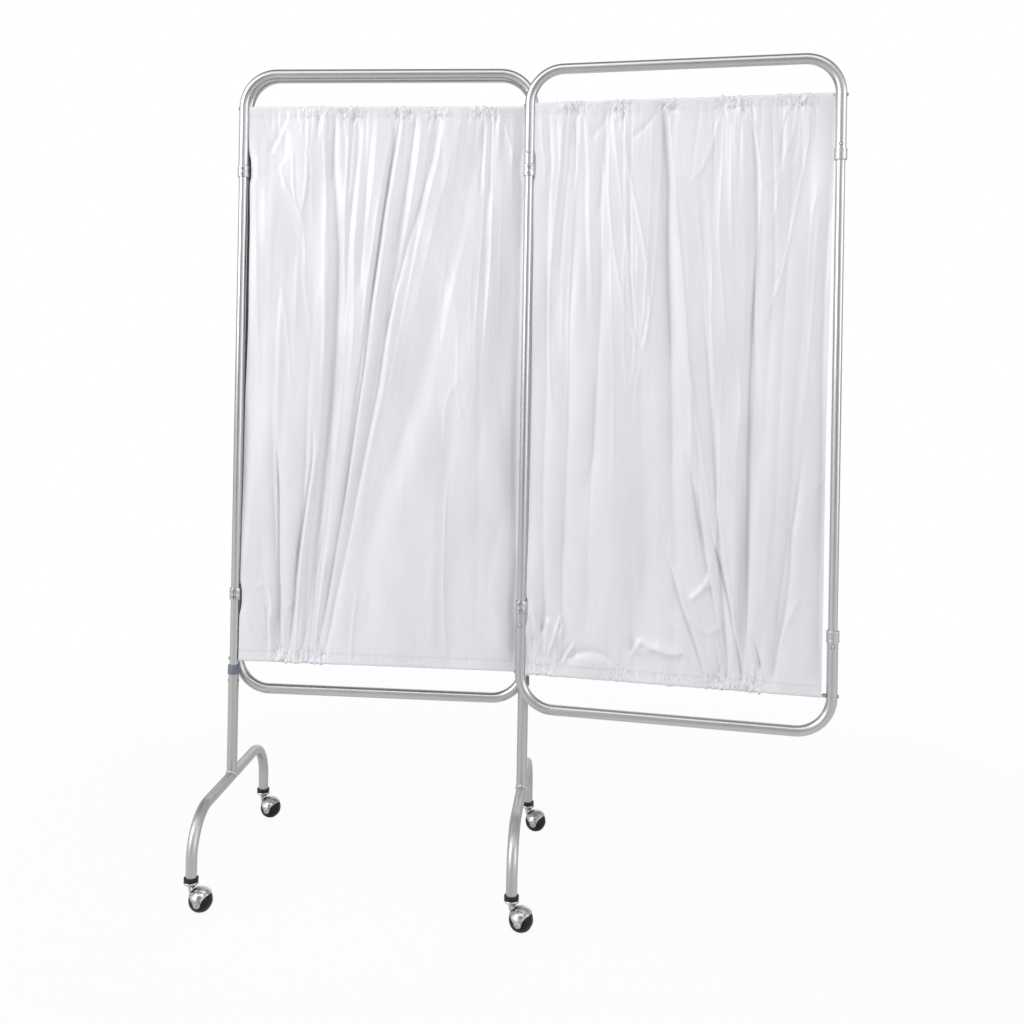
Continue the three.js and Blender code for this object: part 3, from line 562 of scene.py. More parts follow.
def tubePatch(points, ways, radius, bore, side, sides=40, chamfer=0.5, depth=12.0):
    # a ring of the given radius carried along the line; at each end it turns over a chamfer into the bore
    lead = np.array([[depth, 0.0], [depth, bore], [0.0, bore], [0.0, radius - chamfer], [chamfer, radius]])
    head = points[0] + ways[0] * lead[:, :1]
    tail = points[-1] - ways[-1] * lead[::-1, :1]
    line = np.concatenate([head, points[1:-1], tail])
    way = np.concatenate([np.repeat(ways[:1], len(lead), 0), ways[1:-1], np.repeat(ways[-1:], len(lead), 0)])
    radii = np.concatenate([lead[:, 1], np.full(len(points) - 2, radius), lead[::-1, 1]])
    a = np.linspace(0.0, 2 * math.pi, sides + 1)
    other = np.cross(way, side)
    ring = np.cos(a)[None, :, None] * np.asarray(side, dtype=float) + np.sin(a)[None, :, None] * other[:, None, :]
    return patch(line[:, None, :] + radii[:, None, None] * ring, *spread(a * radius, lengthAlong(line)))


# Tubes and rods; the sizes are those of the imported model

screen = {
    "panel": 635.0,
    "topRail": 1715.9,
    "bottomRail": 366.1,
    "topRod": 1640.9,
    "wingBottomRod": 441.1,
    "centreBottomRod": 437.3,
    "bowRadius": 11.1,
    "bowBore": 9.9,
    "tubeRadius": 9.4,
    "tubeBore": 8.2,
    "corner": 72.0,
    "bowLeg": 200.0,
    "overlap": 45.0,
    "centreTubeEnd": 356.0,
    "rivetDrop": 175.0,
}
places = {
    "centre": {"x": -635.0, "y": 0.0, "angle": 0.0},
    "leftWing": {"x": -635.0, "y": 30.0, "angle": 0.0},
    "rightWing": {"x": -5.21, "y": -29.54, "angle": -8.0},
}
legs = {"left": -screen["panel"], "right": 0.0}
upperLegEnd = screen["topRail"] - screen["bowLeg"]
lowerLegEnd = screen["bottomRail"] + screen["bowLeg"]
upright = (0, 1, 2)
alongX = (2, 1, 0)
alongY = (0, 2, 1)

rivet = {"radius": 3.2, "rise": 1.7, "sunk": 0.9, "seat": 0.9, "seatDepth": 1.0, "sides": 24}


def rivetPatches(x, z, side, reach):
    # a domed head on the wall that faces the given side along Y, with a ring of painted shade where it is seated
    radius, rise = rivet["radius"], rivet["rise"]
    head = softened([
        (0.0, reach + rise), (radius * 0.55, reach + rise * 0.86), (radius, reach + 0.25),
        (radius, reach - rivet["sunk"]), (0.0, reach - rivet["sunk"]),
    ], 0.7)
    wide, low = radius + rivet["seat"], reach - rivet["seatDepth"]
    seat = [(0.0, reach + 0.1), (wide, reach - 0.15), (wide, low), (0.0, low)]
    turned = [turnedPatch(head, rivet["sides"]), turnedPatch(seat, rivet["sides"], finish=1)]
    return [put(swapped(p, alongY, (1, side, 1)), x, 0.0, z) for p in turned]


def makeBow(name, body, place, rail, direction, rivetSide):
    # a U of tube: up one leg, round two bends with the rail between them, and down the other leg
    end = rail - direction * screen["bowLeg"]
    w = screen["panel"]
    points, ways = bentLine([(0, 0, end), (0, 0, rail), (w, 0, rail), (w, 0, end)], screen["corner"], 20)
    parts = [tubePatch(points, ways, screen["bowRadius"], screen["bowBore"], (0.0, 1.0, 0.0), 44)]
    for x in (0.0, w):
        parts += rivetPatches(x, rail - direction * screen["rivetDrop"], rivetSide, screen["bowRadius"])
    makePiece(name, body, [put(p, **place) for p in parts], ["bow", "paintedShade"])


def makeSideTube(name, body, place, x, low, high, node=None):
    # a straight tube between two heights
    points = np.array([(x, 0.0, low), (x, 0.0, (low + high) / 2), (x, 0.0, high)])
    ways = np.array([(0.0, 0.0, 1.0)] * 3)
    part = tubePatch(points, ways, screen["tubeRadius"], screen["tubeBore"], (0.0, 1.0, 0.0))
    makePiece(name, body, [put(part, **place)], ["tube"], node=node)


rod = {"radius": 2.4, "clearance": 0.3, "capNut": 3.8, "capHeight": 2.8, "innerNut": 4.3, "innerNutLength": 6.0}


def makeRod(name, body, place, z, wall):
    # a rod between two nuts inside the tubes, with a cap nut outside each
    seat = wall + rod["clearance"]
    nutEnd = seat + rod["innerNutLength"]
    half = [
        (0.0, -seat - rod["capHeight"]), (rod["capNut"] * 0.5, -seat - rod["capHeight"] * 0.93),
        (rod["capNut"] * 0.86, -seat - rod["capHeight"] * 0.55), (rod["capNut"], -seat), (rod["radius"], -seat),
        (rod["radius"], seat), (rod["innerNut"], seat), (rod["innerNut"], nutEnd), (rod["radius"], nutEnd),
    ]
    outline = np.array(half + [(r, screen["panel"] - h) for r, h in reversed(half)])
    nut = np.zeros(len(outline), dtype=bool)
    nut[[6, 7, -8, -7]] = True
    part = swapped(turnedPatch(outline, 36, hexagon=nut), alongX)
    makePiece(name, body, [put(put(part, z=z), **place)], ["rod"], sharp=28.0)


makeBow("centreTopBow", "stand", places["centre"], screen["topRail"], 1, 1)
makeRod("centreTopRod", "stand", places["centre"], screen["topRod"], screen["bowRadius"])
makeRod("centreBottomRod", "stand", places["centre"], screen["centreBottomRod"], screen["tubeRadius"])
tubeTop = upperLegEnd + screen["overlap"]
for side, x in (("left", 0.0), ("right", screen["panel"])):
    node = f"centre_{side}_tube"
    makeSideTube(side + "CentreTube", "stand", places["centre"], x, screen["centreTubeEnd"], tubeTop, node)
for side, outward in (("left", 1), ("right", -1)):
    place, body, title = places[side + "Wing"], side + "_wing", side + "Wing"
    makeBow(title + "TopBow", body, place, screen["topRail"], 1, outward)
    makeBow(title + "BottomBow", body, place, screen["bottomRail"], -1, outward)
    for end, x in (("Inner", 0.0), ("Outer", screen["panel"])):
        makeSideTube(title + end + "Tube", body, place, x, lowerLegEnd - screen["overlap"], tubeTop)
    makeRod(title + "TopRod", body, place, screen["topRod"], screen["bowRadius"])
    makeRod(title + "BottomRod", body, place, screen["wingBottomRod"], screen["bowRadius"])
print("tubes and rods are made")

# Ferrules, collars and hinge clips

ferrule = {"height": 24.0, "lip": 6.4, "outer": 13.1, "wide": 11.5, "narrow": 9.75, "floor": -0.3}


def makeFerrule(name, body, place, z, up):
    # a rolled ring: two fine lines are pressed near its wide end, and its lip steps in to the thinner tube
    outer, lip, top = ferrule["outer"], ferrule["lip"], ferrule["height"] - ferrule["lip"]
    outline = softened([
        (ferrule["narrow"], ferrule["floor"]), (ferrule["narrow"], -lip),
        (outer - 1.5, -lip), (outer - 0.2, -lip + 1.6),
        (outer - 0.15, top - 7.0), (outer - 0.45, top - 6.6), (outer - 0.15, top - 6.2), (outer - 0.1, top - 4.2),
        (outer - 0.4, top - 3.8), (outer, top - 3.4), (outer, top), (ferrule["wide"], top),
        (ferrule["wide"], ferrule["floor"]), (ferrule["narrow"], ferrule["floor"]),
    ])
    part = swapped(turnedPatch(outline), upright, (1, 1, up))
    makePiece(name, body, [put(put(part, x=screen["panel"], z=z), **place)], ["tube"])


for side in ("left", "right"):
    for level, z, up in (("Upper", upperLegEnd, 1), ("Lower", lowerLegEnd, -1)):
        makeFerrule(f"{side}Wing{level}Ferrule", side + "_wing", places[side + "Wing"], z, up)

collar = {"top": 424.3, "base": 404.3, "outer": 12.9, "wide": 11.5, "narrow": 9.75, "postEnd": 418.3}


def makeCollar(name, x):
    # a moulded cap on the post's end, turned from its section, with a shallow band below its upper rim
    outer, top, postEnd = collar["outer"], collar["top"], collar["postEnd"]
    outline = softened([
        (collar["wide"], postEnd), (collar["wide"], collar["base"]), (outer, collar["base"]),
        (outer, top - 6.0), (outer - 0.3, top - 5.6), (outer - 0.3, top - 1.2), (outer - 1.2, top),
        (collar["narrow"], top), (collar["narrow"], postEnd), (collar["wide"], postEnd),
    ])
    makePiece(name, "stand", [put(turnedPatch(outline), x=x)], ["collar"])


for side, x in legs.items():
    makeCollar(side + "LegCollar", x)

clip = {
    "spacing": 30.0, "inner": 10.05, "wall": 2.4, "waist": 3.2, "waistShare": 0.32, "split": 0.8, "height": 25.0,
    "belowBow": 0.3, "bulge": 0.7, "steps": 26, "screwHead": 3.7, "headHeight": 2.4, "shank": 2.0, "nut": 3.8,
    "nutHeight": 3.0, "slotShare": 0.22, "dimpleTurn": 14.5, "angles": {"left": 0.0, "right": 170.0},
}


def clipOutline():
    # half of the clip seen from above: an arc round each tube, joined by a flat waist
    inner, outer = clip["inner"], clip["inner"] + clip["wall"]
    edge, middle = clip["split"] / 2, clip["spacing"] / 2
    waistHalf, waist = clip["spacing"] * clip["waistShare"] / 2, clip["split"] / 2 + clip["waist"]
    quarter = math.pi / 2
    openOuter, openInner = math.asin(edge / outer), math.asin(edge / inner)
    meet = math.asin((middle - waistHalf) / outer)

    def arc(radius, start, stop, y):
        a = np.linspace(start, stop, clip["steps"])
        return np.stack([radius * np.cos(a), y + radius * np.sin(a)], axis=1)

    return np.concatenate([
        arc(outer, -quarter + openOuter, meet, 0.0),
        [(waist, middle - waistHalf), (waist, middle + waistHalf)],
        arc(outer, -meet, quarter - openOuter, clip["spacing"]),
        arc(inner, quarter - openInner, -quarter + openInner, clip["spacing"]),
        arc(inner, quarter - openInner, -quarter + openInner, 0.0),
    ])


def clipHalfPatches(side):
    # two stacked lobes: the outline is drawn in by bulge (1 - sqrt(1 - h^2)) towards the ends and the middle of the
    # height
    outline = clipOutline()
    nextPoint = np.roll(outline, -1, axis=0)
    along = nextPoint - np.roll(outline, 1, axis=0)
    along /= np.linalg.norm(along, axis=1, keepdims=True)
    outward = np.stack([along[:, 1], -along[:, 0]], axis=1)
    half = clip["height"] / 2
    z = np.concatenate([np.linspace(-half, 0.0, 11), np.linspace(0.0, half, 11)[1:]])
    h = np.clip((np.abs(z) - half / 2) / (half / 2), -1, 1)
    drawnIn = clip["bulge"] * (1 - np.sqrt(np.maximum(1 - (0.97 * h) ** 2, 0.0)))
    flat = outline[None] - outward[None] * drawnIn[:, None, None]
    wall = np.concatenate([flat, np.repeat(z[:, None], len(outline), 1)[..., None]], axis=-1)
    wall = np.concatenate([wall, wall[:, :1]], axis=1)
    length = np.concatenate([[0.0], np.cumsum(np.linalg.norm(nextPoint - outline, axis=1))])
    parts = [patch(wall, *spread(length, z))]
    # the end faces run between the outer line, two arcs and the waist's two corners, and the inner line
    turn = 2 * clip["steps"] + 2
    t = np.linspace(0, 1, turn)
    for row in (0, -1):
        outerLine, innerLine = wall[row][:turn], wall[row][len(outline) - 1:turn - 1:-1]
        share = np.linspace(0, 1, len(innerLine))
        innerLine = np.stack([np.interp(t, share, innerLine[:, k]) for k in range(3)], axis=1)
        lines = np.stack([outerLine, innerLine])
        parts.append(patch(lines, lines[..., 0], lines[..., 1]))
    if side < 0:
        parts = [put(p, angle=180.0, y=clip["spacing"]) for p in parts]
    # hollows of the lobes, one above the other, beside the seam on both tubes, as small dishes in the finish of
    # painted shade
    outer = clip["inner"] + clip["wall"]
    section = softened([(0.0, outer - 0.35), (1.7, outer - 0.3), (2.3, outer + 0.14), (2.8, outer - 0.4)], 0.3)
    for y, way in ((0.0, -1), (clip["spacing"], 1)):
        for z in (-half / 2, half / 2):
            dimple = put(swapped(turnedPatch(section, 20, finish=1), alongY, (1, way, 1)), z=z)
            parts.append(put(dimple, angle=clip["dimpleTurn"] * way * side, y=y))
    return parts


def makeClipScrew(name, body, place):
    # a slotted cheese head on the outside, a shank through the waist and a nut inside, turned from their sections
    seat = clip["split"] / 2 + clip["waist"] + 0.3
    top, nutTop = seat + clip["headHeight"], seat + clip["nutHeight"]
    head, shank, nut = clip["screwHead"], clip["shank"], clip["nut"]
    profile = softened([
        (0.0, -top + 0.5), (0.9, -top + 0.5), (head * 0.72, -top + 0.12), (head, -top + 1.0), (head, -seat),
        (shank, -seat), (shank, seat),
    ], 0.35)
    nutLine = [(shank, seat), (nut, seat), (nut, nutTop - 0.3), (nut - 0.4, nutTop), (0.0, nutTop)]
    # the slot is a thin flat piece in the finish of painted shade, laid on the head
    slot = turnedPatch([(0.0, -top - 0.05), (head * 0.8, -top - 0.02), (head * 0.82, -top + 0.5)], 4, finish=1)
    slot["points"][..., 1] *= clip["slotShare"]
    parts = [turnedPatch(profile, 32), turnedPatch(nutLine, 36, hexagon=[False, True, True, False, False]), slot]
    parts = [put(put(swapped(p, alongX), y=clip["spacing"] / 2), **place) for p in parts]
    makePiece(name, body, parts, ["brass", "paintedShade"], sharp=28.0)


clipDrop = clip["belowBow"] + clip["height"] / 2
for side, x in legs.items():
    for level, z in (("Upper", upperLegEnd - clipDrop), ("Lower", lowerLegEnd + clipDrop)):
        place = {"x": x, "y": 0.0, "z": z, "angle": clip["angles"][side]}
        body, title = side + "_hinge_clips", side + level + "Clip"
        for half, way in (("HalfA", 1), ("HalfB", -1)):
            parts = [put(p, **place) for p in clipHalfPatches(way)]
            makePiece(title + half, body, parts, ["clip", "paintedShade"])
        makeClipScrew(title + "Screw", body, place)
print("ferrules, collars and hinge clips are made")

# Legs and feet

base = {
    "span": 470.0, "axis": 182.0, "bend": 85.0, "end": 61.9, "postTop": 418.0, "postWaist": 215.0, "rivet": 389.3,
    "bead": 2.3, "beadRipple": 0.16, "ripples": 26, "beadWave": 0.06,
}


def makePost(name, x):
    # a tube whose foot follows the tube it stands on: z = axis + sqrt(R^2 - x^2)
    r, bore, top = screen["bowRadius"], screen["bowBore"], base["postTop"]
    a = np.linspace(0.0, 2 * math.pi, 49)
    low = base["axis"] + np.sqrt((r * np.sin(a)) ** 2 + 0.4) + 0.3
    level = np.ones_like(a)
    rows = [
        (bore, low + 9.0), (bore, low), (r, low), (r, base["postWaist"] * level), (r, (top - 0.5) * level),
        (r - 0.5, top * level), (bore, top * level), (bore, (top - 10.0) * level),
    ]
    points = np.stack([np.stack([radius * np.cos(a), radius * np.sin(a), z], axis=-1) for radius, z in rows])
    parts = [patch(points, *spread(a * r, [0.0, 9.0, 10.0, 30.0, 230.0, 231.0, 232.0, 242.0]))]
    for side in (1, -1):
        parts += [put(put(p, angle=90.0), z=base["rivet"]) for p in rivetPatches(0.0, 0.0, side, r)]
    makePiece(name, "stand", [put(p, x=x) for p in parts], ["base", "paintedShade"])


def weldBead():
    # a ring of ripples laid along the post's foot: radius b (1 + k |sin(n a / 2)|) about
    # (R cos a, R sin a, axis + R |sin a|)
    r = screen["bowRadius"]
    a = np.linspace(0.0, 2 * math.pi, 321)
    centre = np.stack([r * np.cos(a), r * np.sin(a), base["axis"] + np.sqrt((r * np.sin(a)) ** 2 + 1.0)], axis=-1)
    way = np.gradient(centre, axis=0)
    way /= np.linalg.norm(way, axis=1, keepdims=True)
    out = np.stack([np.cos(a), np.sin(a), np.zeros_like(a)], axis=-1)
    other = np.cross(way, out)
    b = np.linspace(0.0, 2 * math.pi, 13)
    ripple = base["beadRipple"] * np.abs(np.sin(base["ripples"] * a / 2)) + base["beadWave"] * np.sin(5 * a + 1.0)
    ring = np.cos(b)[None, :, None] * out[:, None] + np.sin(b)[None, :, None] * other[:, None]
    points = centre[:, None] + (base["bead"] * (1 + ripple))[:, None, None] * ring
    across, along = spread(b * base["bead"], a * r)
    return patch(points, along, across, 1)


def makeFoot(name, x):
    # one tube bent down at both ends, with the weld's bead round the post
    reach = base["span"] / 2
    corners = [(0, -reach, base["end"]), (0, -reach, base["axis"]), (0, reach, base["axis"]), (0, reach, base["end"])]
    points, ways = bentLine(corners, base["bend"], 22)
    parts = [tubePatch(points, ways, screen["bowRadius"], screen["bowBore"], (1.0, 0.0, 0.0), 44), weldBead()]
    makePiece(name, "stand", [put(p, x=x) for p in parts], ["base", "clip"])


for side, x in legs.items():
    makePost(side + "LegPost", x)
    makeFoot(side + "Foot", x)
print("legs and feet are made")

# Ball castors

castor = {
    "wheel": 23.3, "axle": 22.911, "wheelHalf": 21.5, "tread": 4.5, "offset": 20.0, "pits": 14, "pitRing": 14.2,
    "hood": 25.4, "hoodHalf": 23.9, "wall": 1.4, "frontRise": 15.0, "rearRise": 12.5, "lobe": 7.5, "lobeFlare": 1.4,
    "step": 11.0, "stepDepth": 0.75, "rows": 71, "columns": 49,
    "sleeveBase": 58.6, "sleeve": 14.5, "dish": 15.0, "dishThick": 3.0, "cone": 4.2, "neck": 6.0, "stem": 5.0,
    "flange": 13.0, "flangeThick": 2.2, "flangeTilt": 49.0, "flangeRise": 9.0,
    "angles": {"leftFront": 0.0, "leftBack": -9.0, "rightFront": -14.0, "rightBack": -12.0},
}


def hoodEdge(x):
    # height of the hood's lower edge at x: a round lobe under the axle, a curve up to each side, then level
    lobe, flare, r = castor["lobe"], castor["lobe"] * castor["lobeFlare"], castor["wheel"]
    t = np.linspace(0.0, 1.0, 24)
    front, rear = castor["frontRise"], castor["rearRise"]
    frontX = (1 - t) ** 2 * lobe + 2 * t * (1 - t) * flare + t ** 2 * r
    frontZ = 2 * t * (1 - t) * front + t ** 2 * front
    backZ = 2 * t * (1 - t) * rear / 2 + t ** 2 * rear
    a = np.linspace(math.pi, 2 * math.pi, 40)
    xs = np.concatenate([[-60.0], -frontX[::-1], lobe * np.cos(a)[1:-1], frontX, [60.0]])
    zs = np.concatenate([[rear], backZ[::-1], lobe * np.sin(a)[1:-1], frontZ, [front]])
    return np.interp(x, xs, zs)


def hoodPatch():
    # slices of the sphere across the axle, each an arc that ends on the hood's edge
    rows, columns = castor["rows"], castor["columns"]
    y = castor["hoodHalf"] * np.sin(np.linspace(-1, 1, rows) * math.pi / 2)
    # each flank is pressed in by a shallow step: depth / (1 + exp(-(|y| - step) / 0.35))
    pressed = castor["stepDepth"] / (1 + np.exp(-(np.abs(y) - castor["step"]) / 0.35))
    rho = np.sqrt(np.maximum((castor["hood"] - pressed) ** 2 - y ** 2, 0.0))
    fine = np.linspace(-math.pi / 2, math.pi / 2, 721)

    def reachOf(sign):
        # the lowest angle, from the top, at which the slice still lies above the edge
        x = rho[:, None] * np.cos(fine)[None, :] * sign
        z = rho[:, None] * np.sin(fine)[None, :]
        first = np.where(z < hoodEdge(x), fine[None, :], -math.pi / 2 - 0.001).max(axis=1)
        return np.maximum(first, -math.pi / 2)

    front, back = reachOf(1), math.pi - reachOf(-1)
    a = front[:, None] + (back - front)[:, None] * np.linspace(0.0, 1.0, columns)[None, :]
    points = np.stack([rho[:, None] * np.cos(a), np.repeat(y[:, None], columns, 1), rho[:, None] * np.sin(a)], axis=-1)
    # both ends close in rings that shrink to the axle's line
    rings = np.array([0.0, 0.6, 0.94])[:, None, None] * np.array([1, 0, 1]) + np.array([0.0, 1.0, 0.0])
    outward = np.array([0.0, 0.12, 0.0])
    points = np.concatenate([points[:1] * rings - outward, points, points[-1:] * rings[::-1] + outward])
    across, along = spread(np.linspace(0, 80, columns), np.linspace(0, 60, len(points)))
    return patch(points, along, across)


def hornPatches():
    # the turned dish under the sleeve runs down into a neck, and a tilted ring closes on the hood
    thick, stem = castor["dishThick"], castor["stem"]
    lift = castor["sleeveBase"] - 0.3 - thick - castor["axle"]
    neck, dish = castor["neck"], castor["dish"]
    outline = softened([
        (0.0, 14.0), (neck * 0.75, 14.0), (neck * 0.86, 20.0), (neck + 0.6, lift - castor["cone"] - 2.0),
        (neck + 4.5, lift - castor["cone"]), (dish - 0.6, lift - 0.5), (dish, lift + 0.9), (dish, lift + 1.6),
        (dish - 0.7, lift + thick), (stem, lift + thick), (stem, lift + 25.0), (stem - 2.0, lift + 26.5),
        (0.0, lift + 27.0),
    ], 1.2, 5)
    horn = put(turnedPatch(outline), x=-castor["offset"])
    tilt = math.radians(castor["flangeTilt"])
    r, thick = castor["flange"], castor["flangeThick"]
    out = castor["hood"] - thick / 2 + 0.2
    x = -out * math.sin(tilt) + castor["flangeRise"] * math.cos(tilt)
    z = out * math.cos(tilt) + castor["flangeRise"] * math.sin(tilt)
    ring = turnedPatch(softened([
        (0.0, 0.0), (r - 0.6, 0.0), (r, 0.7), (r, thick - 0.7), (r - 0.8, thick), (r * 0.62, thick * 0.9),
        (0.0, thick * 0.9),
    ]))
    c, s = math.cos(-tilt), math.sin(-tilt)
    points = ring["points"] @ np.array([[c, 0.0, -s], [0.0, 1.0, 0.0], [s, 0.0, c]]) + np.array([x, 0.0, z])
    # the part of the ring that would rise over the dish's underside is drawn in under it
    points[..., 2] = np.minimum(points[..., 2], lift + 1.2)
    # nothing of the horn or the ring reaches into the wheel's room
    room = castor["hood"] - castor["wall"] * 0.5
    parts = []
    for part in (horn, {**ring, "points": points}):
        away = np.linalg.norm(part["points"], axis=-1, keepdims=True)
        parts.append({**part, "points": part["points"] * np.maximum(room / np.maximum(away, 1e-6), 1.0)})
    return parts


def wheelPatch():
    # a ball with a flat tread: rings of ridges on the flanks and a circle of shallow pits round each hub
    big, half, tread = castor["wheel"], castor["wheelHalf"], castor["tread"]
    start, stop = math.asin(tread / big), math.asin(half / (big + 0.2))
    t = np.linspace(0.0, 1.0, 64)
    lat = start + (stop - start) * t
    ridge = 0.32 * np.clip(np.sin(t * 2 * math.pi * 5.5), -0.2, 0.6) * (t > 0.06) * (t < 0.97)
    radius, side = (big + ridge) * np.cos(lat), (big + ridge) * np.sin(lat)
    radius[:3] = big + np.array([-0.02, -0.06, -0.25])
    hub = [(6.0, half - 0.7), (5.6, half - 1.4), (2.8, half - 1.5), (2.8, 0.0)]
    profile = np.concatenate([np.stack([radius, side], axis=1), hub])
    full = np.concatenate([profile[::-1] * np.array([1, -1]), [(big, -tread + 0.2), (big, tread - 0.2)], profile])
    part = turnedPatch(full, 96)
    points = part["points"]
    angle, r = np.arctan2(points[..., 1], points[..., 0]), np.hypot(points[..., 0], points[..., 1])
    pitch = 2 * math.pi / castor["pits"]
    near = ((angle + pitch / 2) % pitch) - pitch / 2
    pit = np.exp(-((near * r / 1.3) ** 2 + ((r - castor["pitRing"]) / 1.1) ** 2) ** 2)
    points[..., 2] -= np.sign(points[..., 2]) * pit * 1.1 * (np.abs(points[..., 2]) > 8.0)
    return swapped(part, alongY)


def axlePatches():
    # a shaft between two riveted ends, all turned about the axle's line
    half = castor["hoodHalf"] + 0.2
    section = [(0.0, half + 0.8), (2.0, half + 0.7), (3.3, half + 0.15), (3.4, half - 0.9), (0.0, half - 0.9)]
    head = turnedPatch(softened(section, 0.6), 28)
    shaft = turnedPatch([(0.0, -half), (2.5, -half), (2.5, half), (0.0, half)], 24)
    return [swapped(head, alongY), swapped(head, alongY, (1, -1, 1)), swapped(shaft, alongY)]


def sleevePatch():
    # a turned plug with two collars and a groove between them, hollow for the castor's stem
    outer, low = castor["sleeve"], castor["sleeveBase"]
    section = [
        (5.3, 26.0), (5.3, 0.0), (outer - 1.2, 0.0), (outer - 0.2, 0.8), (outer - 0.2, 2.6), (outer - 0.8, 3.1),
        (outer - 0.8, 3.9), (outer, 4.4), (outer, 6.9), (outer - 0.7, 7.5), (11.5, 7.5), (11.5, 3.0), (9.6, 3.0),
        (9.6, 26.0), (5.3, 26.0),
    ]
    return turnedPatch(softened([(r, low + z) for r, z in section]))


for side, x in legs.items():
    for end, y in (("Front", -base["span"] / 2), ("Back", base["span"] / 2)):
        title, body = side + end + "Castor", f"{side}_{end.lower()}"

        def trailing(parts):
            place = {"x": x, "y": y, "angle": castor["angles"][side + end]}
            return [put(put(part, x=castor["offset"], z=castor["axle"]), **place) for part in parts]

        makePiece(title + "Sleeve", "stand", [put(sleevePatch(), x=x, y=y)], ["sleeve"])
        hoodParts = trailing([hoodPatch(), *hornPatches()])
        makePiece(title + "Hood", body + "_castor", hoodParts, ["castor"])
        makePiece(title + "Axle", body + "_castor", trailing(axlePatches()), ["castor"])
        makePiece(title + "Wheel", body + "_wheel", trailing([wheelPatch()]), ["wheel"], sharp=50.0)
print("castors are made")

# Curtains

curtain = {
    "margin": 11.0,               # from the panel's side to the sheet's edge
    "columns": 420,
    "rows": 188,
    "closerRows": 0.45,           # share by which the rows draw together near the hems
    "limit": 15.0,                # most that the sheet stands out or in
    "settled": 0.42,              # share of the relief that is left at the seams
    "settleOver": 24.0,           # height over which the rest comes back
    "hollowDepth": 5.5,           # depth at which a narrow hollow's painted shade is at its darkest
    "valleyDepth": 9.0,           # and a wide one
    "edgeReach": 60.0,            # how far in from an edge its swing is felt
    "farSwing": 3.0,
    "clipLevels": (1511.0, 571.0),
    "clipReach": 30.0,
    "clipRoom": 4.5,
}

# Each fold: shares across at the top, quarter, middle, three quarters and bottom; depths in mm there; width in mm.
# A valley is negative and a ridge positive, towards the viewer.
centreFolds = [
    ((.304, .335, .320, .288, .232), (-4, -9, -11, -11, -7), 12),
    ((.268, .300, .286, .262, .220), (1, 3, 3.5, 3, 2), 9),
    ((.534, .474, .414, .358, .279), (-4, -4, -4, -4, -4), 6),
    ((.596, .548, .470, .383, .305), (-4, -6, -6, -6, -5), 11),
    ((.860, .750, .625, .470, .400), (-3, -5, -7, -6, -3), 34),
    ((.677, .600, .520, .450, .360), (-5, -3, -1.5, 0, 0), 9),
    ((.400, .370, .345, .310, .250), (-4, -3, -1, 0, 0), 7),
    ((.120, .115, .110, .115, .139), (0, 0, -1.5, -5, -6), 9),
    ((.250, .245, .240, .215, .180), (0, 0, -2, -5, -5), 8),
    ((.290, .290, .280, .262, .225), (0, 0, 0, -3, -5), 6),
    ((.330, .330, .320, .310, .262), (0, 0, -1, -3, -5), 6),
    ((.870, .855, .850, .850, .850), (-4, -3.5, -2, -1, -1), 11),
    ((.985, .980, .980, .980, .985), (-4, -6, -6, -6, -4), 14),
    ((.000, .000, .005, .000, .000), (-3, -4, -4, -3, -2), 13),
    ((.700, .695, .690, .690, .700), (1, 1, 1, 2, 2), 18),
    ((.200, .190, .180, .170, .160), (2, 2, 2.5, 2.5, 1), 22),
]
rightFolds = [
    ((.150, .135, .130, .125, .120), (-5, -4, -3.5, -3, -4), 10),
    ((.250, .235, .230, .215, .200), (-6, -4, -4, -2, -1), 12),
    ((.440, .455, .480, .500, .500), (-7, -9, -9, -6, -2), 16),
    ((.468, .505, .545, .600, .690), (2.5, 3, 3, 3, 3), 8),
    ((.560, .580, .610, .645, .690), (0, -2, -3, -5, -6), 8),
    ((.550, .550, .560, .590, .680), (0, 0, -1, -6, -5), 9),
    ((.733, .765, .752, .738, .735), (-6, -8, -9, -9, -8), 12),
    ((.700, .725, .715, .700, .705), (2, 3, 3, 3, 3), 9),
    ((.800, .815, .800, .790, .780), (-5, -3, -1, 0, -2), 7),
    ((.870, .860, .840, .830, .830), (-4, -3, -2, -1, 0), 9),
    ((.930, .925, .900, .870, .830), (-2, -1, -2, -4, -6), 12),
    ((.360, .360, .370, .400, .420), (0, -2, -7, -8, -5), 42),
    ((.050, .050, .050, .050, .060), (-4, -3, -3, -3, -4), 10),
    ((.995, .985, .980, .985, .990), (-3, -5, -5, -4, -3), 13),
    ((.330, .340, .350, .360, .370), (-4, -3, 0, 0, -4), 8),
]
leftFolds = [
    ((.12, .13, .15, .16, .18), (-5, -5, -4, -4, -5), 11),
    ((.28, .27, .27, .25, .23), (-5, -6, -6, -5, -5), 14),
    ((.42, .43, .45, .46, .46), (-4, -5, -6, -7, -6), 16),
    ((.55, .56, .58, .60, .62), (-5, -4, -4, -4, -5), 10),
    ((.68, .69, .70, .72, .73), (-6, -6, -7, -6, -5), 14),
    ((.83, .82, .82, .81, .80), (-4, -5, -5, -4, -5), 11),
    ((.93, .93, .92, .92, .92), (-4, -3, -3, -3, -4), 9),
    ((.00, .00, .01, .00, .00), (-3, -4, -4, -4, -3), 13),
    ((.99, .98, .98, .98, .99), (-3, -4, -5, -4, -3), 13),
    ((.35, .35, .36, .36, .35), (2, 3, 3, 3, 2), 18),
]

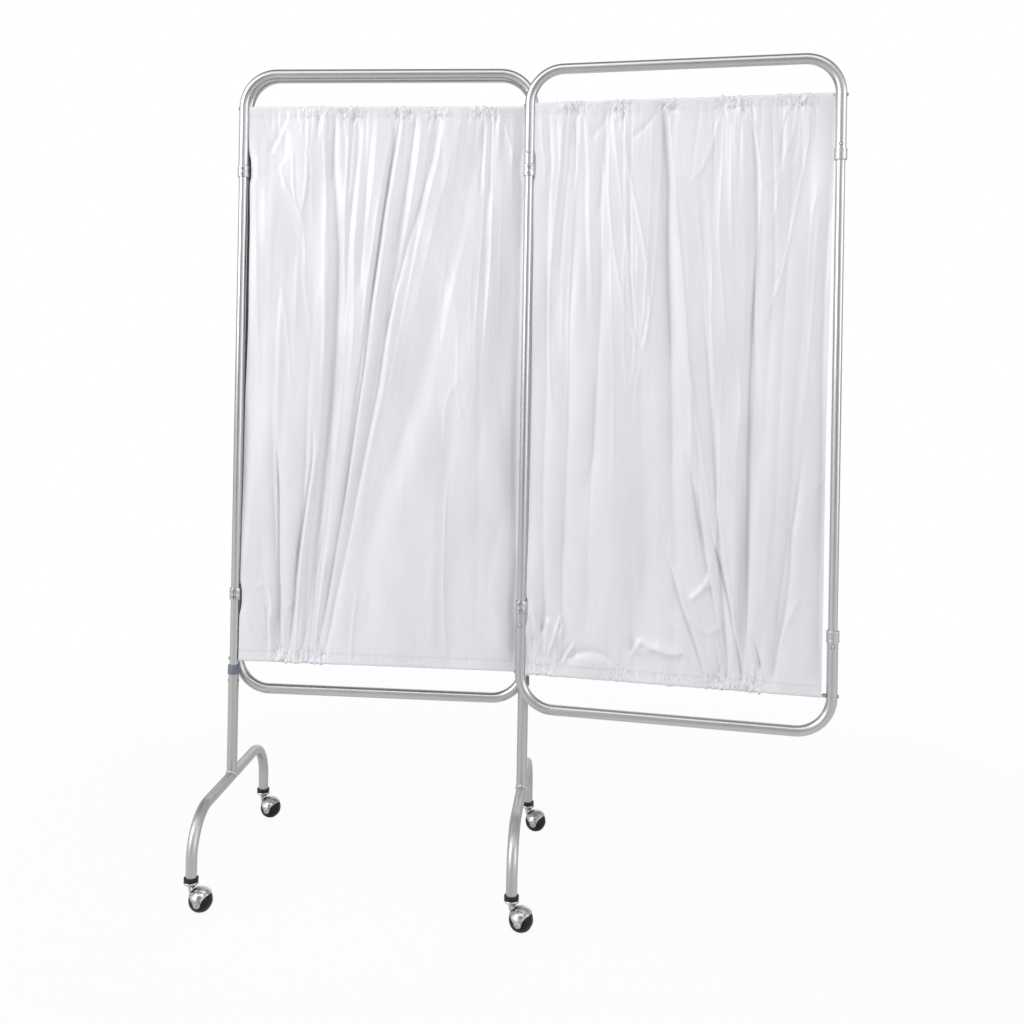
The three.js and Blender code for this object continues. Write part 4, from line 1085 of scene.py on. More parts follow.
# Where the cloth is bunched on its rods, top and bottom: share across, half width, strength. Swags, which are creases
# that hang in a curve: share across, share down at the top and at the tip, half width in mm, height, width. Swing of
# the near edge in mm, how much faster it is than the far one's, and how far in the far edge's lower corner hangs
curtainKinds = {
    "centre": {
        "body": "stand",
        "bottomRod": screen["centreBottomRod"],
        "seed": 11,
        "facing": -1,
        "folds": centreFolds,
        "top": [(0.25, 0.09, 0.8), (0.37, 0.06, 1.0), (0.55, 0.06, 1.0), (0.68, 0.05, 0.9), (0.84, 0.06, 1.0)],
        "bottom": [(0.16, 0.05, 1.0), (0.24, 0.05, 1.2), (0.30, 0.03, 1.0), (0.6, 0.2, 0.2)],
        "swags": [(0.19, 0.085, 0.175, 17.0, 1.6, 3.0), (0.80, 0.48, 0.56, 20.0, 1.0, 4.0)],
        "swing": (7.0, 1.6, 0.0),
    },
    "leftWing": {
        "body": "left_wing",
        "bottomRod": screen["wingBottomRod"],
        "seed": 23,
        "facing": 1,
        "folds": leftFolds,
        "top": [(0.15, 0.07, 1.0), (0.34, 0.06, 1.0), (0.52, 0.06, 1.0), (0.7, 0.06, 1.0), (0.88, 0.05, 0.9)],
        "bottom": [(0.2, 0.06, 1.0), (0.42, 0.06, 1.0), (0.6, 0.06, 1.0), (0.77, 0.06, 1.0)],
        "swags": [(0.6, 0.03, 0.3, 28.0, 1.4, 3.2)],
        "swing": (3.0, 1.0, 0.0),
    },
    "rightWing": {
        "body": "right_wing",
        "bottomRod": screen["wingBottomRod"],
        "seed": 37,
        "facing": -1,
        "folds": rightFolds,
        "top": [(0.13, 0.05, 0.9), (0.29, 0.05, 1.0), (0.455, 0.035, 1.1), (0.68, 0.07, 1.1), (0.87, 0.07, 1.0)],
        "bottom": [(0.05, 0.06, 0.9), (0.33, 0.07, 0.6), (0.5, 0.06, 0.6), (0.66, 0.06, 1.2), (0.76, 0.05, 1.2)],
        "swags": [
            (0.375, 0.03, 0.43, 36.0, 1.6, 3.2),
            (0.372, 0.03, 0.40, 20.0, 1.2, 3.0),
            (0.34, 0.30, 0.50, 14.0, 1.0, 3.0),
            (0.60, 0.60, 0.84, 30.0, 1.6, 4.0),
        ],
        "swing": (3.0, 1.0, 9.0),
    },
}

# Creases: rise in mm (below nought for a valley), half width in mm, and then the line they follow as pairs of
# thousandths across and down
creases = {
    "centre": [
        (2.4, 3.5, 151, 0, 120, 37, 88, 71), (-1.6, 5, 137, 0, 101, 37, 71, 68),
        (3, 3, 137, 76, 117, 100, 139, 131, 162, 152, 185, 160),
        (2.6, 3, 222, 6, 213, 68, 212, 125, 204, 154, 185, 160),
        (1.5, 4, 180, 162, 203, 200, 211, 244, 213, 319, 236, 382, 242, 457),
        (2.2, 4, 33, 24, 23, 131, 27, 226, 33, 345, 52, 446, 47, 547),
        (1.8, 4, 83, 351, 102, 333, 131, 331, 147, 370, 165, 458, 177, 526),
        (1.6, 3, 257, 1, 264, 37, 281, 50, 296, 37, 299, 12), (1.6, 4, 210, 0, 232, 93, 238, 206),
        (2.6, 5, 278, 56, 286, 150, 283, 269, 289, 381, 284, 507),
        (3.2, 3.5, 361, 18, 356, 150, 355, 256, 360, 381, 356, 506, 335, 638, 301, 757),
        (-2.2, 4, 378, 1, 370, 75, 363, 150), (-2.4, 5, 313, 1, 308, 56, 304, 131),
        (1.8, 4, 411, 1, 402, 131, 392, 243, 394, 381, 382, 506), (-1.4, 6, 449, 1, 431, 118, 420, 231, 411, 331),
        (1.6, 4, 468, 1, 457, 100, 436, 206),
        (-3.4, 2.4, 545, 0, 514, 93, 488, 193, 461, 318, 435, 459, 405, 571, 374, 690, 345, 788, 302, 939, 276, 1000),
        (2.2, 3.2, 525, 1, 497, 87, 468, 193, 441, 318, 415, 459, 386, 572, 359, 681),
        (1.8, 3.4, 562, 1, 532, 93, 505, 193, 480, 312, 457, 418), (-1.8, 5, 600, 1, 587, 69, 565, 149, 530, 268),
        (2, 4, 626, 1, 610, 87, 575, 205, 544, 318, 517, 418),
        (-2.6, 4.5, 684, 2, 664, 75, 620, 168, 577, 237, 544, 318),
        (2.6, 4.5, 706, 2, 689, 69, 647, 162, 618, 230, 592, 305, 554, 417, 513, 530),
        (1.8, 6, 753, 13, 719, 106, 683, 174, 639, 280, 598, 380),
        (-4.2, 4.5, 575, 243, 515, 380, 483, 505, 437, 630, 392, 768, 337, 913, 310, 1000),
        (2, 4, 536, 417, 500, 524, 458, 618, 419, 718, 362, 869),
        (2.2, 3, 854, 2, 852, 131, 844, 242, 831, 366, 820, 478),
        (2, 3, 877, 2, 880, 131, 878, 254, 866, 378, 851, 477), (-2.4, 4, 842, 2, 841, 69, 833, 149),
        (-2, 3, 870, 0, 873, 69, 868, 149), (2.4, 5, 911, 2, 934, 38, 963, 94),
        (1.8, 8, 802, 193, 780, 242, 752, 304, 722, 379, 707, 441), (1.4, 5, 813, 255, 808, 329, 815, 416, 808, 471),
        (2.2, 3, 820, 479, 780, 483, 754, 500, 728, 528, 723, 565, 721, 615),
        (1.8, 4, 820, 481, 811, 509, 791, 540, 766, 571), (-5, 3.4, 125, 609, 133, 697, 136, 822, 140, 923, 145, 1000),
        (1.6, 4, 144, 728, 150, 853, 159, 1000), (1.8, 3, 107, 923, 115, 1000), (-2.2, 3, 125, 948, 130, 1000),
        (-3.4, 3, 254, 570, 251, 645, 233, 720, 208, 815, 195, 909, 179, 1000),
        (2.2, 3, 269, 620, 247, 720, 225, 815, 214, 896, 203, 1000), (-3, 3, 296, 776, 273, 845, 263, 921, 254, 1000),
        (2, 3, 314, 807, 293, 882, 280, 945, 271, 1000), (-2.2, 3, 333, 832, 309, 920, 291, 1000),
        (1.6, 3.5, 739, 658, 732, 751, 731, 876, 743, 993), (1.6, 3.5, 423, 880, 411, 943, 405, 1000),
        (2.2, 3.5, 49, 884, 78, 876, 102, 880, 110, 904, 117, 948), (1.6, 3, 61, 915, 81, 917, 91, 936, 98, 974),
        (1.8, 3, 166, 922, 182, 912, 195, 914), (1.4, 5, 18, 925, 42, 962, 67, 987),
        (0.8, 5, 196, 658, 161, 677, 125, 709), (1, 5, 165, 533, 163, 602, 156, 665),
    ],
    "rightWing": [
        (2.2, 3.5, 23, 3, 31, 67, 38, 128, 47, 136, 56, 104),
        (2.4, 3.2, 101, 0, 86, 128, 71, 220, 59, 324, 58, 422, 70, 508, 88, 588), (1.8, 3, 88, 588, 67, 596, 40, 595),
        (1.6, 4, 23, 549, 32, 576, 40, 595), (2.4, 3.2, 149, 0, 150, 97, 137, 201, 129, 335, 126, 494, 128, 616),
        (-1.8, 6, 135, 3, 118, 103, 103, 201, 92, 311), (-1.4, 7, 165, 11, 175, 127, 184, 249, 190, 407),
        (1.8, 4, 188, 54, 194, 188, 207, 321, 215, 431), (-1.8, 4, 254, 0, 234, 23, 193, 48),
        (1.8, 3.5, 241, 78, 245, 163, 243, 260), (-1.4, 4, 225, 84, 233, 126, 224, 199),
        (1.6, 3, 272, 0, 282, 65, 302, 144, 328, 247, 371, 361, 385, 427),
        (2.6, 2.8, 259, 17, 260, 144, 278, 235, 308, 319, 341, 385, 379, 440),
        (2.8, 2.8, 300, 11, 326, 101, 369, 198, 395, 270, 405, 342, 403, 390, 383, 440),
        (1.8, 3, 300, 404, 317, 428, 342, 470, 353, 507), (2, 3, 386, 448, 374, 469, 360, 507),
        (1.4, 3.5, 270, 199, 277, 369, 290, 489, 293, 611, 299, 719), (-2.6, 3, 254, 0, 266, 0, 275, 11),
        (-2, 3, 288, 0, 291, 23), (-2.2, 4.5, 424, 0, 403, 16, 369, 35, 333, 51),
        (-5, 4, 439, 0, 447, 34, 460, 124, 463, 233, 469, 329, 482, 460),
        (3, 3, 458, 0, 473, 88, 485, 160, 507, 256, 526, 351, 542, 459, 574, 566, 613, 678, 643, 778),
        (1.6, 6, 490, 0, 499, 124, 520, 202, 535, 279, 534, 351),
        (2.6, 3, 498, 101, 515, 119, 540, 125, 572, 110, 599, 73, 628, 22, 636, 0),
        (2.2, 3, 595, 142, 568, 165, 561, 183, 576, 243, 589, 326, 604, 434), (1.8, 3, 588, 147, 605, 171),
        (1.8, 3.2, 644, 15, 638, 123, 633, 224, 648, 325, 667, 432), (1.4, 4, 615, 242, 610, 362, 628, 481, 656, 599),
        (1.8, 3, 666, 9, 671, 140, 675, 253), (1.8, 3, 682, 1, 681, 63, 690, 87, 711, 100),
        (1.6, 4, 712, 15, 723, 122, 729, 193), (-2.4, 3, 636, 0, 644, 15), (-2.4, 3, 666, 0, 669, 9),
        (2.6, 3.4, 717, 1, 735, 21, 754, 62, 764, 98, 769, 137),
        (2.8, 3, 769, 137, 765, 193, 760, 276, 759, 359, 769, 418, 779, 477), (2.4, 2.6, 769, 137, 801, 126, 828, 116),
        (1.8, 3, 828, 116, 851, 110, 876, 99, 885, 77), (1.8, 3, 831, 116, 824, 145, 809, 204, 789, 222, 773, 234),
        (-2, 4.5, 868, 0, 841, 27, 832, 68, 828, 109),
        (2.8, 3, 918, 9, 919, 61, 900, 120, 873, 203, 845, 286, 805, 352, 767, 404),
        (1.8, 3, 879, 9, 871, 44, 835, 97), (1.4, 3, 817, 139, 823, 198, 817, 251),
        (1.6, 3.4, 953, 138, 935, 191, 927, 273, 924, 344),
        (1.8, 3.6, 960, 173, 950, 249, 943, 355, 931, 461, 910, 568), (1.8, 3, 902, 9, 914, 20, 925, 10),
        (-2.4, 3, 867, 0, 870, 9), (2.4, 3, 667, 456, 675, 433, 691, 427, 703, 438, 708, 479, 724, 585, 738, 691),
        (2, 4, 498, 664, 498, 610, 511, 600, 523, 609, 536, 651), (-3.2, 5, 548, 618, 558, 662, 576, 721, 606, 780),
        (2.2, 3, 447, 748, 476, 745, 493, 754, 487, 784, 506, 832, 554, 889, 603, 959),
        (-2.8, 4, 481, 797, 526, 879, 580, 954, 610, 1000), (-4, 3, 616, 738, 653, 802, 686, 872, 717, 953, 733, 1000),
        (2, 3, 639, 683, 673, 789, 700, 883, 729, 965),
        (-5.5, 3.2, 757, 240, 749, 359, 743, 478, 742, 596, 743, 715, 744, 834, 744, 946),
        (-1.6, 4, 726, 632, 723, 775, 719, 894, 730, 988), (2.2, 3, 561, 895, 578, 911, 613, 924, 645, 919, 660, 903),
        (4, 5, 549, 871, 571, 862, 620, 836, 611, 822), (1.2, 5, 549, 873, 529, 843, 505, 808),
        (1.4, 4, 455, 846, 472, 849, 484, 869), (4.2, 6, 360, 995, 366, 970, 397, 947, 431, 956, 489, 964, 546, 962),
        (2.4, 4, 486, 899, 521, 927, 541, 956, 558, 985), (1.4, 3, 547, 986, 568, 996, 577, 1000),
        (-4.5, 6, 137, 992, 176, 976, 228, 970, 285, 978, 319, 992), (1.8, 4, 144, 1000, 205, 997, 273, 998),
        (3, 9, 6, 895, 30, 955), (3.6, 8, 76, 915, 68, 985), (3.2, 7, 120, 930, 104, 990),
        (2.4, 10, 175, 985, 300, 990), (3.4, 13, 375, 968, 450, 955, 530, 968),
        (4, 4, 11, 884, 34, 926, 56, 955, 60, 937), (-2.4, 5, 5, 890, 24, 951, 22, 1000),
        (3, 3, 68, 1000, 97, 959, 118, 914, 126, 933, 121, 976), (2.8, 3.4, 130, 1000, 144, 981, 175, 958),
        (-2, 3, 86, 1000, 112, 971, 113, 946), (-2, 3, 109, 1000, 135, 976, 157, 956),
        (-2.2, 14, 355, 995, 373, 934, 392, 849, 411, 775), (1.2, 12, 338, 911, 368, 819, 386, 728),
        (-2.6, 6, 924, 591, 887, 745, 881, 828, 859, 911, 833, 989), (1.8, 4, 919, 850, 875, 899, 854, 947),
        (1.2, 5, 830, 653, 802, 796, 798, 867), (2.4, 3, 753, 928, 775, 974, 792, 1000),
        (-2.6, 3, 764, 922, 789, 968, 806, 1000), (1.8, 3, 833, 1000, 914, 1000, 994, 1000),
        (1.4, 4, 991, 642, 975, 654, 958, 684), (1, 4, 884, 733, 914, 743), (0.9, 5, 165, 761, 190, 751, 214, 735),
        (-1.6, 8, 225, 461, 222, 613, 190, 699),
    ],
}

creases = {
    kind: [(np.array(row[2:]).reshape(-1, 2) / 1000, row[0], row[1]) for row in rows] for kind, rows in creases.items()
}
# the wing behind has the centre's creases in mirror image, without every third one
creases["leftWing"] = [
    (np.array([1.0, 0.0]) + line * [-1, 1], rise, wide)
    for place, (line, rise, wide) in enumerate(creases["centre"]) if place % 3
]


def bunching(across, clusters):
    # how closely the cloth is gathered: the largest of strength exp(-((x - middle) / half)^2)
    return np.max([strength * np.exp(-((across - middle) / half) ** 2) for middle, half, strength in clusters], axis=0)


def pinch(distance, width, rounding=0.3):
    # a rounded crease: exp(e - sqrt((d/w)^2 + e^2))
    return np.exp(rounding - np.sqrt((distance / width) ** 2 + rounding ** 2))


# the shares down the sheet at which paths are worked out
fine = np.linspace(0.0, 1.0, 201)


def eased(values):
    # straight between the stops, then a mean over the neighbours weighted by exp(-t^2)
    weights = np.exp(-np.linspace(-2.2, 2.2, 41) ** 2)
    line = np.interp(fine, np.linspace(0.0, 1.0, len(values)), values)
    return np.convolve(np.pad(line, len(weights) // 2, mode="edge"), weights / weights.sum(), mode="valid")


def swaying(random, size, waves):
    # size sin(2 pi (waves v + start))
    return size * np.sin(2 * math.pi * (fine * random.uniform(*waves) + random.uniform()))


def steering(folds):
    # sorted from left to right, the folds' paths and the sheet's two edges steer everything else on it
    paths = np.array([path for path, _, _ in folds] + [np.zeros_like(fine), np.ones_like(fine)])
    paths = paths[np.argsort(paths[:, 0])]
    return np.maximum.accumulate(paths + np.arange(len(paths))[:, None] * 1e-5, axis=0)


def steered(paths, share, edge):
    # the path through a share of the top hem, or of the bottom one: between its two neighbours
    ends = paths[:, 0 if edge == "top" else -1]
    k = int(np.clip(np.searchsorted(ends, share) - 1, 0, len(ends) - 2))
    mix = (share - ends[k]) / max(ends[k + 1] - ends[k], 1e-4)
    return (1 - mix) * paths[k] + mix * paths[k + 1]


fold = {"scale": 1.15, "swell": 0.3, "wander": 0.003, "waves": (1.5, 3.0)}


def foldRelief(folds, u, v, width, random):
    # each fold is depth(v) pinch(u - path(v)), and grows by its swell over the middle of the sheet's height
    relief = np.zeros_like(u)
    scale = fold["scale"] * (1.0 + fold["swell"] * np.clip(2 * v - 0.5, 0.0, 1.0))
    for path, depth, wide in folds:
        middle = np.interp(v, fine, path + swaying(random, fold["wander"], fold["waves"]))
        relief += scale * np.interp(v, fine, depth) * pinch((u - middle) * width, wide)
    return relief


gather = {
    "count": {"top": 60, "bottom": 46}, "longest": {"top": 420.0, "bottom": 330.0}, "shortest": 35.0,
    "reachPower": 2.2, "scatter": 0.85, "drift": 0.0001, "depth": (1.2, 3.6), "valleys": 0.66, "ridge": 0.7,
    "wide": (2.2, 4.0), "widening": (0.02, 0.06), "fadePower": 1.2,
}


def gatherRelief(own, paths, u, v, width, height, random):
    # folds that run out of the bunched cloth, narrow at the hem and wider as they fade: depth (1 - away / reach)^power
    # times a pinch
    relief = np.zeros_like(u)
    for edge in ("top", "bottom"):
        clusters = own[edge]
        total = np.array([half * strength for _, half, strength in clusters])
        away = (v if edge == "top" else 1 - v) * height
        for pick in random.choice(len(clusters), size=gather["count"][edge], p=total / total.sum()):
            middle, half, strength = clusters[pick]
            start = np.clip(middle + random.normal() * half * gather["scatter"], 0.01, 0.99)
            line = np.interp(v, fine, steered(paths, start, edge))
            reach = gather["shortest"] + gather["longest"][edge] * random.uniform() ** gather["reachPower"]
            drift = random.normal() * gather["drift"] * away
            depth = random.uniform(*gather["depth"]) * strength
            depth *= -1 if random.uniform() < gather["valleys"] else gather["ridge"]
            wide = random.uniform(*gather["wide"]) + away * random.uniform(*gather["widening"])
            fade = np.clip(1 - away / reach, 0.0, 1.0) ** gather["fadePower"]
            relief += depth * fade * pinch((u - line - drift) * width, wide)
    return relief


crease = {
    "valleys": 1.6, "ridges": 0.85, "lowRidges": 1.2, "low": 0.62, "lowOver": 0.3, "rounding": 0.25,
    "hem": 0.015, "fade": 0.2, "fadePower": 0.6,
}


def creaseRelief(line, rise, wide, x, y, size):
    # d to the nearest spot of the line, in mm, and the share s of its length there: the crease is rise pinch(d), and
    # fades with (s / fade)^power towards an end, unless that end runs into a hem. Ridges stand higher low down
    spots = line * size
    starts = lengthAlong(spots)
    nearest = np.full_like(x, 1e9)
    share = np.zeros_like(x)
    for first, second, before, after in zip(spots[:-1], spots[1:], starts[:-1], starts[1:]):
        step = (second - first) / (after - before)
        along = np.clip((x - first[0]) * step[0] + (y - first[1]) * step[1], 0.0, after - before)
        distance = np.hypot(x - first[0] - along * step[0], y - first[1] - along * step[1])
        closer = distance < nearest
        nearest = np.where(closer, distance, nearest)
        share = np.where(closer, (before + along) / starts[-1], share)
    low = np.clip((line[:, 1].mean() - crease["low"]) / crease["lowOver"], 0.0, 1.0)
    scale = crease["valleys"] if rise < 0 else crease["ridges"] * (1 + crease["lowRidges"] * low)
    relief = scale * rise * pinch(nearest, wide, crease["rounding"])
    for fromEnd, fromHem in ((share, line[0, 1]), (1 - share, 1 - line[-1, 1])):
        if fromHem >= crease["hem"]:
            relief *= np.clip(fromEnd / crease["fade"], 0.0, 1.0) ** crease["fadePower"]
    return relief


crest = {
    "count": 24, "start": (0.02, 0.98), "sway": 0.004, "waves": (0.6, 1.6), "middle": (0.05, 0.75),
    "half": (0.08, 0.32), "fadePower": 0.7, "rise": (0.4, 1.2), "wide": (1.8, 4.5),
}


def crestRelief(paths, u, v, width, random):
    # thin crests where the stiff sheet has been creased along its folds: rise (1 - |v - middle| / half)^power times a
    # pinch
    relief = np.zeros_like(u)
    for _ in range(crest["count"]):
        path = steered(paths, random.uniform(*crest["start"]), "top")
        path = path + swaying(random, crest["sway"], crest["waves"])
        middle, half = random.uniform(*crest["middle"]), random.uniform(*crest["half"])
        fade = np.clip(1 - np.abs((v - middle) / half), 0.0, 1.0) ** crest["fadePower"]
        rise, wide = random.uniform(*crest["rise"]), random.uniform(*crest["wide"])
        relief += rise * fade * pinch((u - np.interp(v, fine, path)) * width, wide)
    return relief


def swagRelief(swags, u, v, width, height):
    # each swag is rise exp(-(d / wide)^2), with d from a half ellipse between its first and its last share down
    relief = np.zeros_like(u)
    for middle, first, last, half, rise, wide in swags:
        side = half * np.sqrt(1 - np.clip((v - first) / (last - first), 0.0, 1.0) ** 2)
        below = np.maximum(v - last, 0.0) * height
        d = np.hypot(np.abs(np.abs(u - middle) * width - side), below * 0.5)
        relief += rise * np.exp(-(d / wide) ** 2) * (v > first * 0.8)
    return relief


facet = {
    "count": 9, "lean": 0.2, "period": (80.0, 210.0), "rounding": 0.0004, "across": (300.0, 900.0),
    "down": (260.0, 700.0), "rise": (0.008, 0.015),
}


def facetRelief(x, y, random):
    # flat panes between soft creases: a sum of triangle waves, each with its own period and lean, that come and go
    relief = np.zeros_like(x)
    for _ in range(facet["count"]):
        lean, period = random.normal() * facet["lean"], random.uniform(*facet["period"])
        phase = (x * math.cos(lean) + y * math.sin(lean)) / period + random.uniform()
        wave = 1 - 4 * np.sqrt((phase % 1.0 - 0.5) ** 2 + facet["rounding"])
        drift = x / random.uniform(*facet["across"]) + y / random.uniform(*facet["down"]) * random.choice([-1, 1])
        rise = period * random.uniform(*facet["rise"])
        relief += rise * wave * (0.5 + 0.5 * np.sin(2 * math.pi * (drift + random.uniform())))
    return relief


billow = {"count": 9, "across": (0.8, 3.5), "down": (0.3, 1.6), "rise": (0.5, 1.1)}


def billowRelief(u, v, random):
    # slow billows of the sheet: rise sin(2 pi (across u + down v + start))
    relief = np.zeros_like(u)
    for _ in range(billow["count"]):
        across, down = random.uniform(*billow["across"]), random.uniform(*billow["down"])
        phase = 2 * math.pi * (across * u + down * v * random.choice([-1, 1]) + random.uniform())
        relief += random.uniform(*billow["rise"]) * np.sin(phase)
    return relief


dent = {
    "count": 16, "across": (0.03, 0.97), "down": (0.04, 0.96), "lean": (-0.9, 0.9), "long": (18.0, 60.0),
    "short": (4.0, 12.0), "rise": (-0.7, 0.6),
}


def dentRelief(u, v, width, height, random):
    # small dents where the sheet has been handled: rise exp(-(x / short)^2 - (y / long)^2) on leaning axes
    relief = np.zeros_like(u)
    for _ in range(dent["count"]):
        x, y = (u - random.uniform(*dent["across"])) * width, (v - random.uniform(*dent["down"])) * height
        lean = random.uniform(*dent["lean"])
        long, short = random.uniform(*dent["long"]), random.uniform(*dent["short"])
        across = (x * math.cos(lean) - y * math.sin(lean)) / short
        along = (x * math.sin(lean) + y * math.cos(lean)) / long
        relief += random.uniform(*dent["rise"]) * np.exp(-across ** 2 - along ** 2)
    return relief


def curtainRelief(kind, u, v, width, height, random):
    # how far the cloth stands towards the viewer, in mm, at the shares u across and v down: a sum of all its effects,
    # held within the limit by limit tanh(relief / limit)
    own = curtainKinds[kind]
    folds = [(eased(shares), eased(depths), wide) for shares, depths, wide in own["folds"]]
    paths = steering(folds)
    relief = foldRelief(folds, u, v, width, random)
    relief += gatherRelief(own, paths, u, v, width, height, random)
    for line, rise, wide in creases[kind]:
        relief += creaseRelief(line, rise, wide, u * width, v * height, [width, height])
    relief += crestRelief(paths, u, v, width, random)
    relief += swagRelief(own["swags"], u, v, width, height)
    relief += facetRelief(u * width, v * height, random)
    relief += billowRelief(u, v, random)
    relief += dentRelief(u, v, width, height, random)
    return curtain["limit"] * np.tanh(relief / curtain["limit"])


pucker = {
    "count": 90, "lean": 0.25, "shortest": 10.0, "longest": 50.0, "depth": (-3.4, 1.6), "wide": (1.4, 2.8),
    "widening": 0.04,
}


def addPuckers(face, u, down, masses, width, height, random):
    # short puckers fan out from the seam where the cloth is bunched: depth (1 - away / reach) times a pinch
    grid = np.broadcast_to(u, down.shape)
    for edge, mass in zip(("top", "bottom"), masses):
        away = (down if edge == "top" else 1 - down) * height
        for pick in random.choice(len(u), size=pucker["count"], p=mass / mass.sum()):
            lean = random.normal() * pucker["lean"]
            reach = pucker["shortest"] + pucker["longest"] * random.uniform() ** 2
            depth, wide = random.uniform(*pucker["depth"]) * mass[pick], random.uniform(*pucker["wide"])
            near = away < reach
            distance = (grid[near] - u[pick]) * width - lean * away[near]
            fade = 1 - away[near] / reach
            face[near] += depth * fade * pinch(distance, wide + away[near] * pucker["widening"])


def sunken(face, taps, full):
    # how far each spot lies below the mean around it across the sheet, as a share of the full depth: the strength of
    # the painted shade there
    window = np.exp(-np.linspace(-2.0, 2.0, 2 * taps + 1) ** 2)
    padded = np.pad(face, ((0, 0), (taps, taps)), mode="edge")
    around = np.apply_along_axis(np.convolve, 1, padded, window / window.sum(), "valid")
    return np.clip((around - face) / full - 0.1, 0.0, 1.0)


hem = {"drop": 19.0, "radius": 4.2, "back": (0.25, 0.596154), "seam": 0.7, "clear": 0.4, "still": 1.5}


def hemSection():
    # a hem's section over its rod, up the back, half round and down the front, as (out towards the viewer, up)
    radius, drop = hem["radius"], hem["drop"]
    a = np.linspace(0.0, math.pi, 8)[1:-1]
    up, down = np.linspace(0.0, 1.0, 7), np.linspace(0.0, 1.0, 9)
    back = np.stack([-radius * np.linspace(*hem["back"], len(up)), drop * (up - 1)], axis=1)
    over = np.stack([-radius * np.cos(a), radius * np.sin(a)], axis=1)
    front = np.stack([radius * (1 - (1 - hem["seam"]) * down), -drop * down], axis=1)
    return np.concatenate([back, over, front])


lump = {
    "count": 330, "first": 2.0, "lean": 0.4, "wide": (2.0, 4.2), "tall": (3.0, 8.0), "rise": (-0.9, 1.0),
    "most": 1.5, "steep": 1.2, "out": 2.0, "up": 3.2, "intoRod": -0.15, "intoSeam": -1.2,
}


def hemPoints(across, mass, seamRow, rodHeight, flip, seamShade, random):
    # the folds run on through the seam and even out on the way to the rod, where the cloth is crushed into lumps:
    # each lump is exp(-(x/w)^2 - (y/h)^2), with y along the hem's section
    line, radius, drop = hemSection(), hem["radius"], hem["drop"]
    section = lengthAlong(line)
    x, y = spread(across, section)
    crushed = np.zeros(x.shape)
    for pick in random.choice(len(across), size=lump["count"], p=mass / mass.sum()):
        middle, lean = random.uniform(lump["first"], section[-1]), random.normal() * lump["lean"]
        wide, tall = random.uniform(*lump["wide"]), random.uniform(*lump["tall"])
        dx, dy = x - across[pick], y - middle
        rise = random.uniform(*lump["rise"]) * mass[pick]
        crushed += rise * np.exp(-((dx - lean * dy) / wide) ** 2 - (dy / tall) ** 2)
    crushed = lump["most"] * np.tanh(crushed / lump["steep"])
    out, rise = line[:, :1], line[:, 1:]
    still = np.clip((rise + drop) / drop, 0.0, 1.0) ** hem["still"]
    side = np.where(rise < 0, np.sign(out), out / radius)
    # hardly anything is pressed into the rod, and little more below it
    lifted = np.maximum(crushed, np.where(still > 0.6, lump["intoRod"], lump["intoSeam"]))
    # painted shade where the lumps are pressed in, and along the seam by seamShade
    stitched = np.exp(-((rise + drop - 0.8) / 1.4) ** 2) * (1 - 0.7 * mass[None, :])
    hollowShade = np.clip(-0.8 * crushed - 0.1, 0.0, 0.9) + seamShade * stitched
    out = out + (1 - still) * (seamRow[None, :] - hem["seam"] * radius) + lump["out"] * lifted * side
    clear = np.where(rise > 0, hem["clear"], 0.0)
    rise = rise + lump["up"] * lifted * np.clip(rise / radius, 0.0, 1.0) + clear
    return np.stack([x, out, rodHeight + flip * rise], axis=-1), hollowShade, mass[None, :] * np.ones_like(hollowShade)


def drawEdges(points, kind, width, bottomRod):
    # the free edges swing inwards between the hems by swing sin(pi share)^2, which dies out by exp(-x / reach)
    x, z = points[..., 0], points[..., 2]
    share = np.clip((screen["topRod"] - z) / (screen["topRod"] - bottomRod), 0.0, 1.0)
    swing, faster, corner = curtainKinds[kind]["swing"]
    near = swing * np.sin(math.pi * np.clip(share * faster, 0, 1)) ** 2
    far = curtain["farSwing"] * np.sin(math.pi * share) ** 2 + corner * share
    # an edge beside a hinge gives way to the clips: by room exp(-((z - level) / reach)^4)
    aside = sum(np.exp(-((z - level) / curtain["clipReach"]) ** 4) for level in curtain["clipLevels"])
    aside *= curtain["clipRoom"]
    if kind == "centre":
        far = far + aside
    reach = curtain["edgeReach"]
    points[..., 0] += (near + aside) * np.exp(-x / reach) - far * np.exp(-(width - x) / reach)


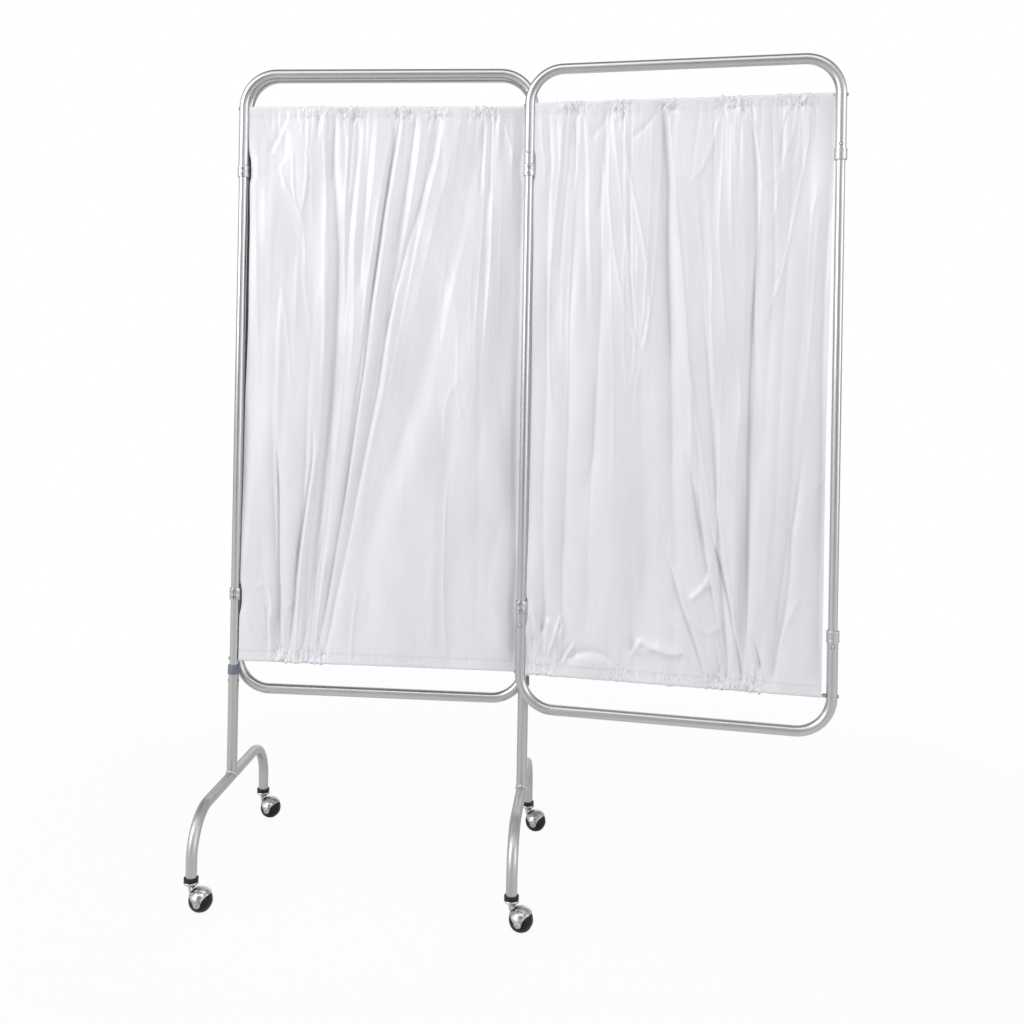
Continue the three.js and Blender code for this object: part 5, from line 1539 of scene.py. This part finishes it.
def curtainPatch(kind):
    # the sheet runs from the back of the top hem over the rod, down the front, and round the bottom rod to its hem
    own = curtainKinds[kind]
    topRod, bottomRod = screen["topRod"], own["bottomRod"]
    width = screen["panel"] - 2 * curtain["margin"]
    high, low = topRod - hem["drop"], bottomRod + hem["drop"]
    height = high - low
    ease = np.linspace(0.0, 1.0, curtain["rows"])
    u = np.linspace(0.0, 1.0, curtain["columns"])
    # rows lie closer together near the hems
    closer = curtain["closerRows"]
    grid, down = np.meshgrid(u, closer * (0.5 - 0.5 * np.cos(math.pi * ease)) + (1 - closer) * ease)
    relief = curtainRelief(kind, grid, down, width, height, np.random.default_rng(own["seed"]))
    # the seams hold the relief down
    fromHem = np.minimum(down, 1 - down) * height
    settle = 1 - (1 - curtain["settled"]) * np.exp(-fromHem / curtain["settleOver"])
    face = hem["seam"] * hem["radius"] + settle * (relief - 0.3)

    random = np.random.default_rng(own["seed"] + 5)
    masses = [0.1 + 0.9 * np.clip(bunching(u, own[edge]), 0.0, 1.0) for edge in ("top", "bottom")]
    addPuckers(face, u, down, masses, width, height, random)
    # painted shade: the sheet is darkened where it lies below the mean around it, over a narrow and a wide window
    hollowShade = sunken(face, 14, curtain["hollowDepth"]) + 0.45 * sunken(face, 46, curtain["valleyDepth"])
    near = [mass[None, :] * np.exp(-share * height / 9.0) for mass, share in zip(masses, (down, 1 - down))]
    points = np.stack([grid * width, face, high - down * height], axis=-1)
    sheet = (points, np.clip(hollowShade, 0.0, 1.0), np.maximum(*near))

    top = hemPoints(u * width, masses[0], face[0], topRod, 1.0, 0.12, random)
    bottom = hemPoints(u * width, masses[1], face[-1], bottomRod, -1.0, 0.3, random)
    points, hollowShade, crushed = [np.concatenate([a, b[1:-1], c[::-1]]) for a, b, c in zip(top, sheet, bottom)]
    drawEdges(points, kind, width, bottomRod)
    points = points * [1.0, own["facing"], 1.0] + [curtain["margin"], 0.0, 0.0]
    # the surface's own measure follows one row and one column of it
    part = patch(points, *spread(lengthAlong(points[100]), lengthAlong(points[:, 220])))
    return {**part, "hollowShade": hollowShade, "crushed": crushed}


for kind, own in curtainKinds.items():
    part = put(curtainPatch(kind), **places[kind])
    piece = makePiece(kind + "Curtain", own["body"], [part], ["vinyl"], closed=False, sharp=180.0)
print("curtains are hung")
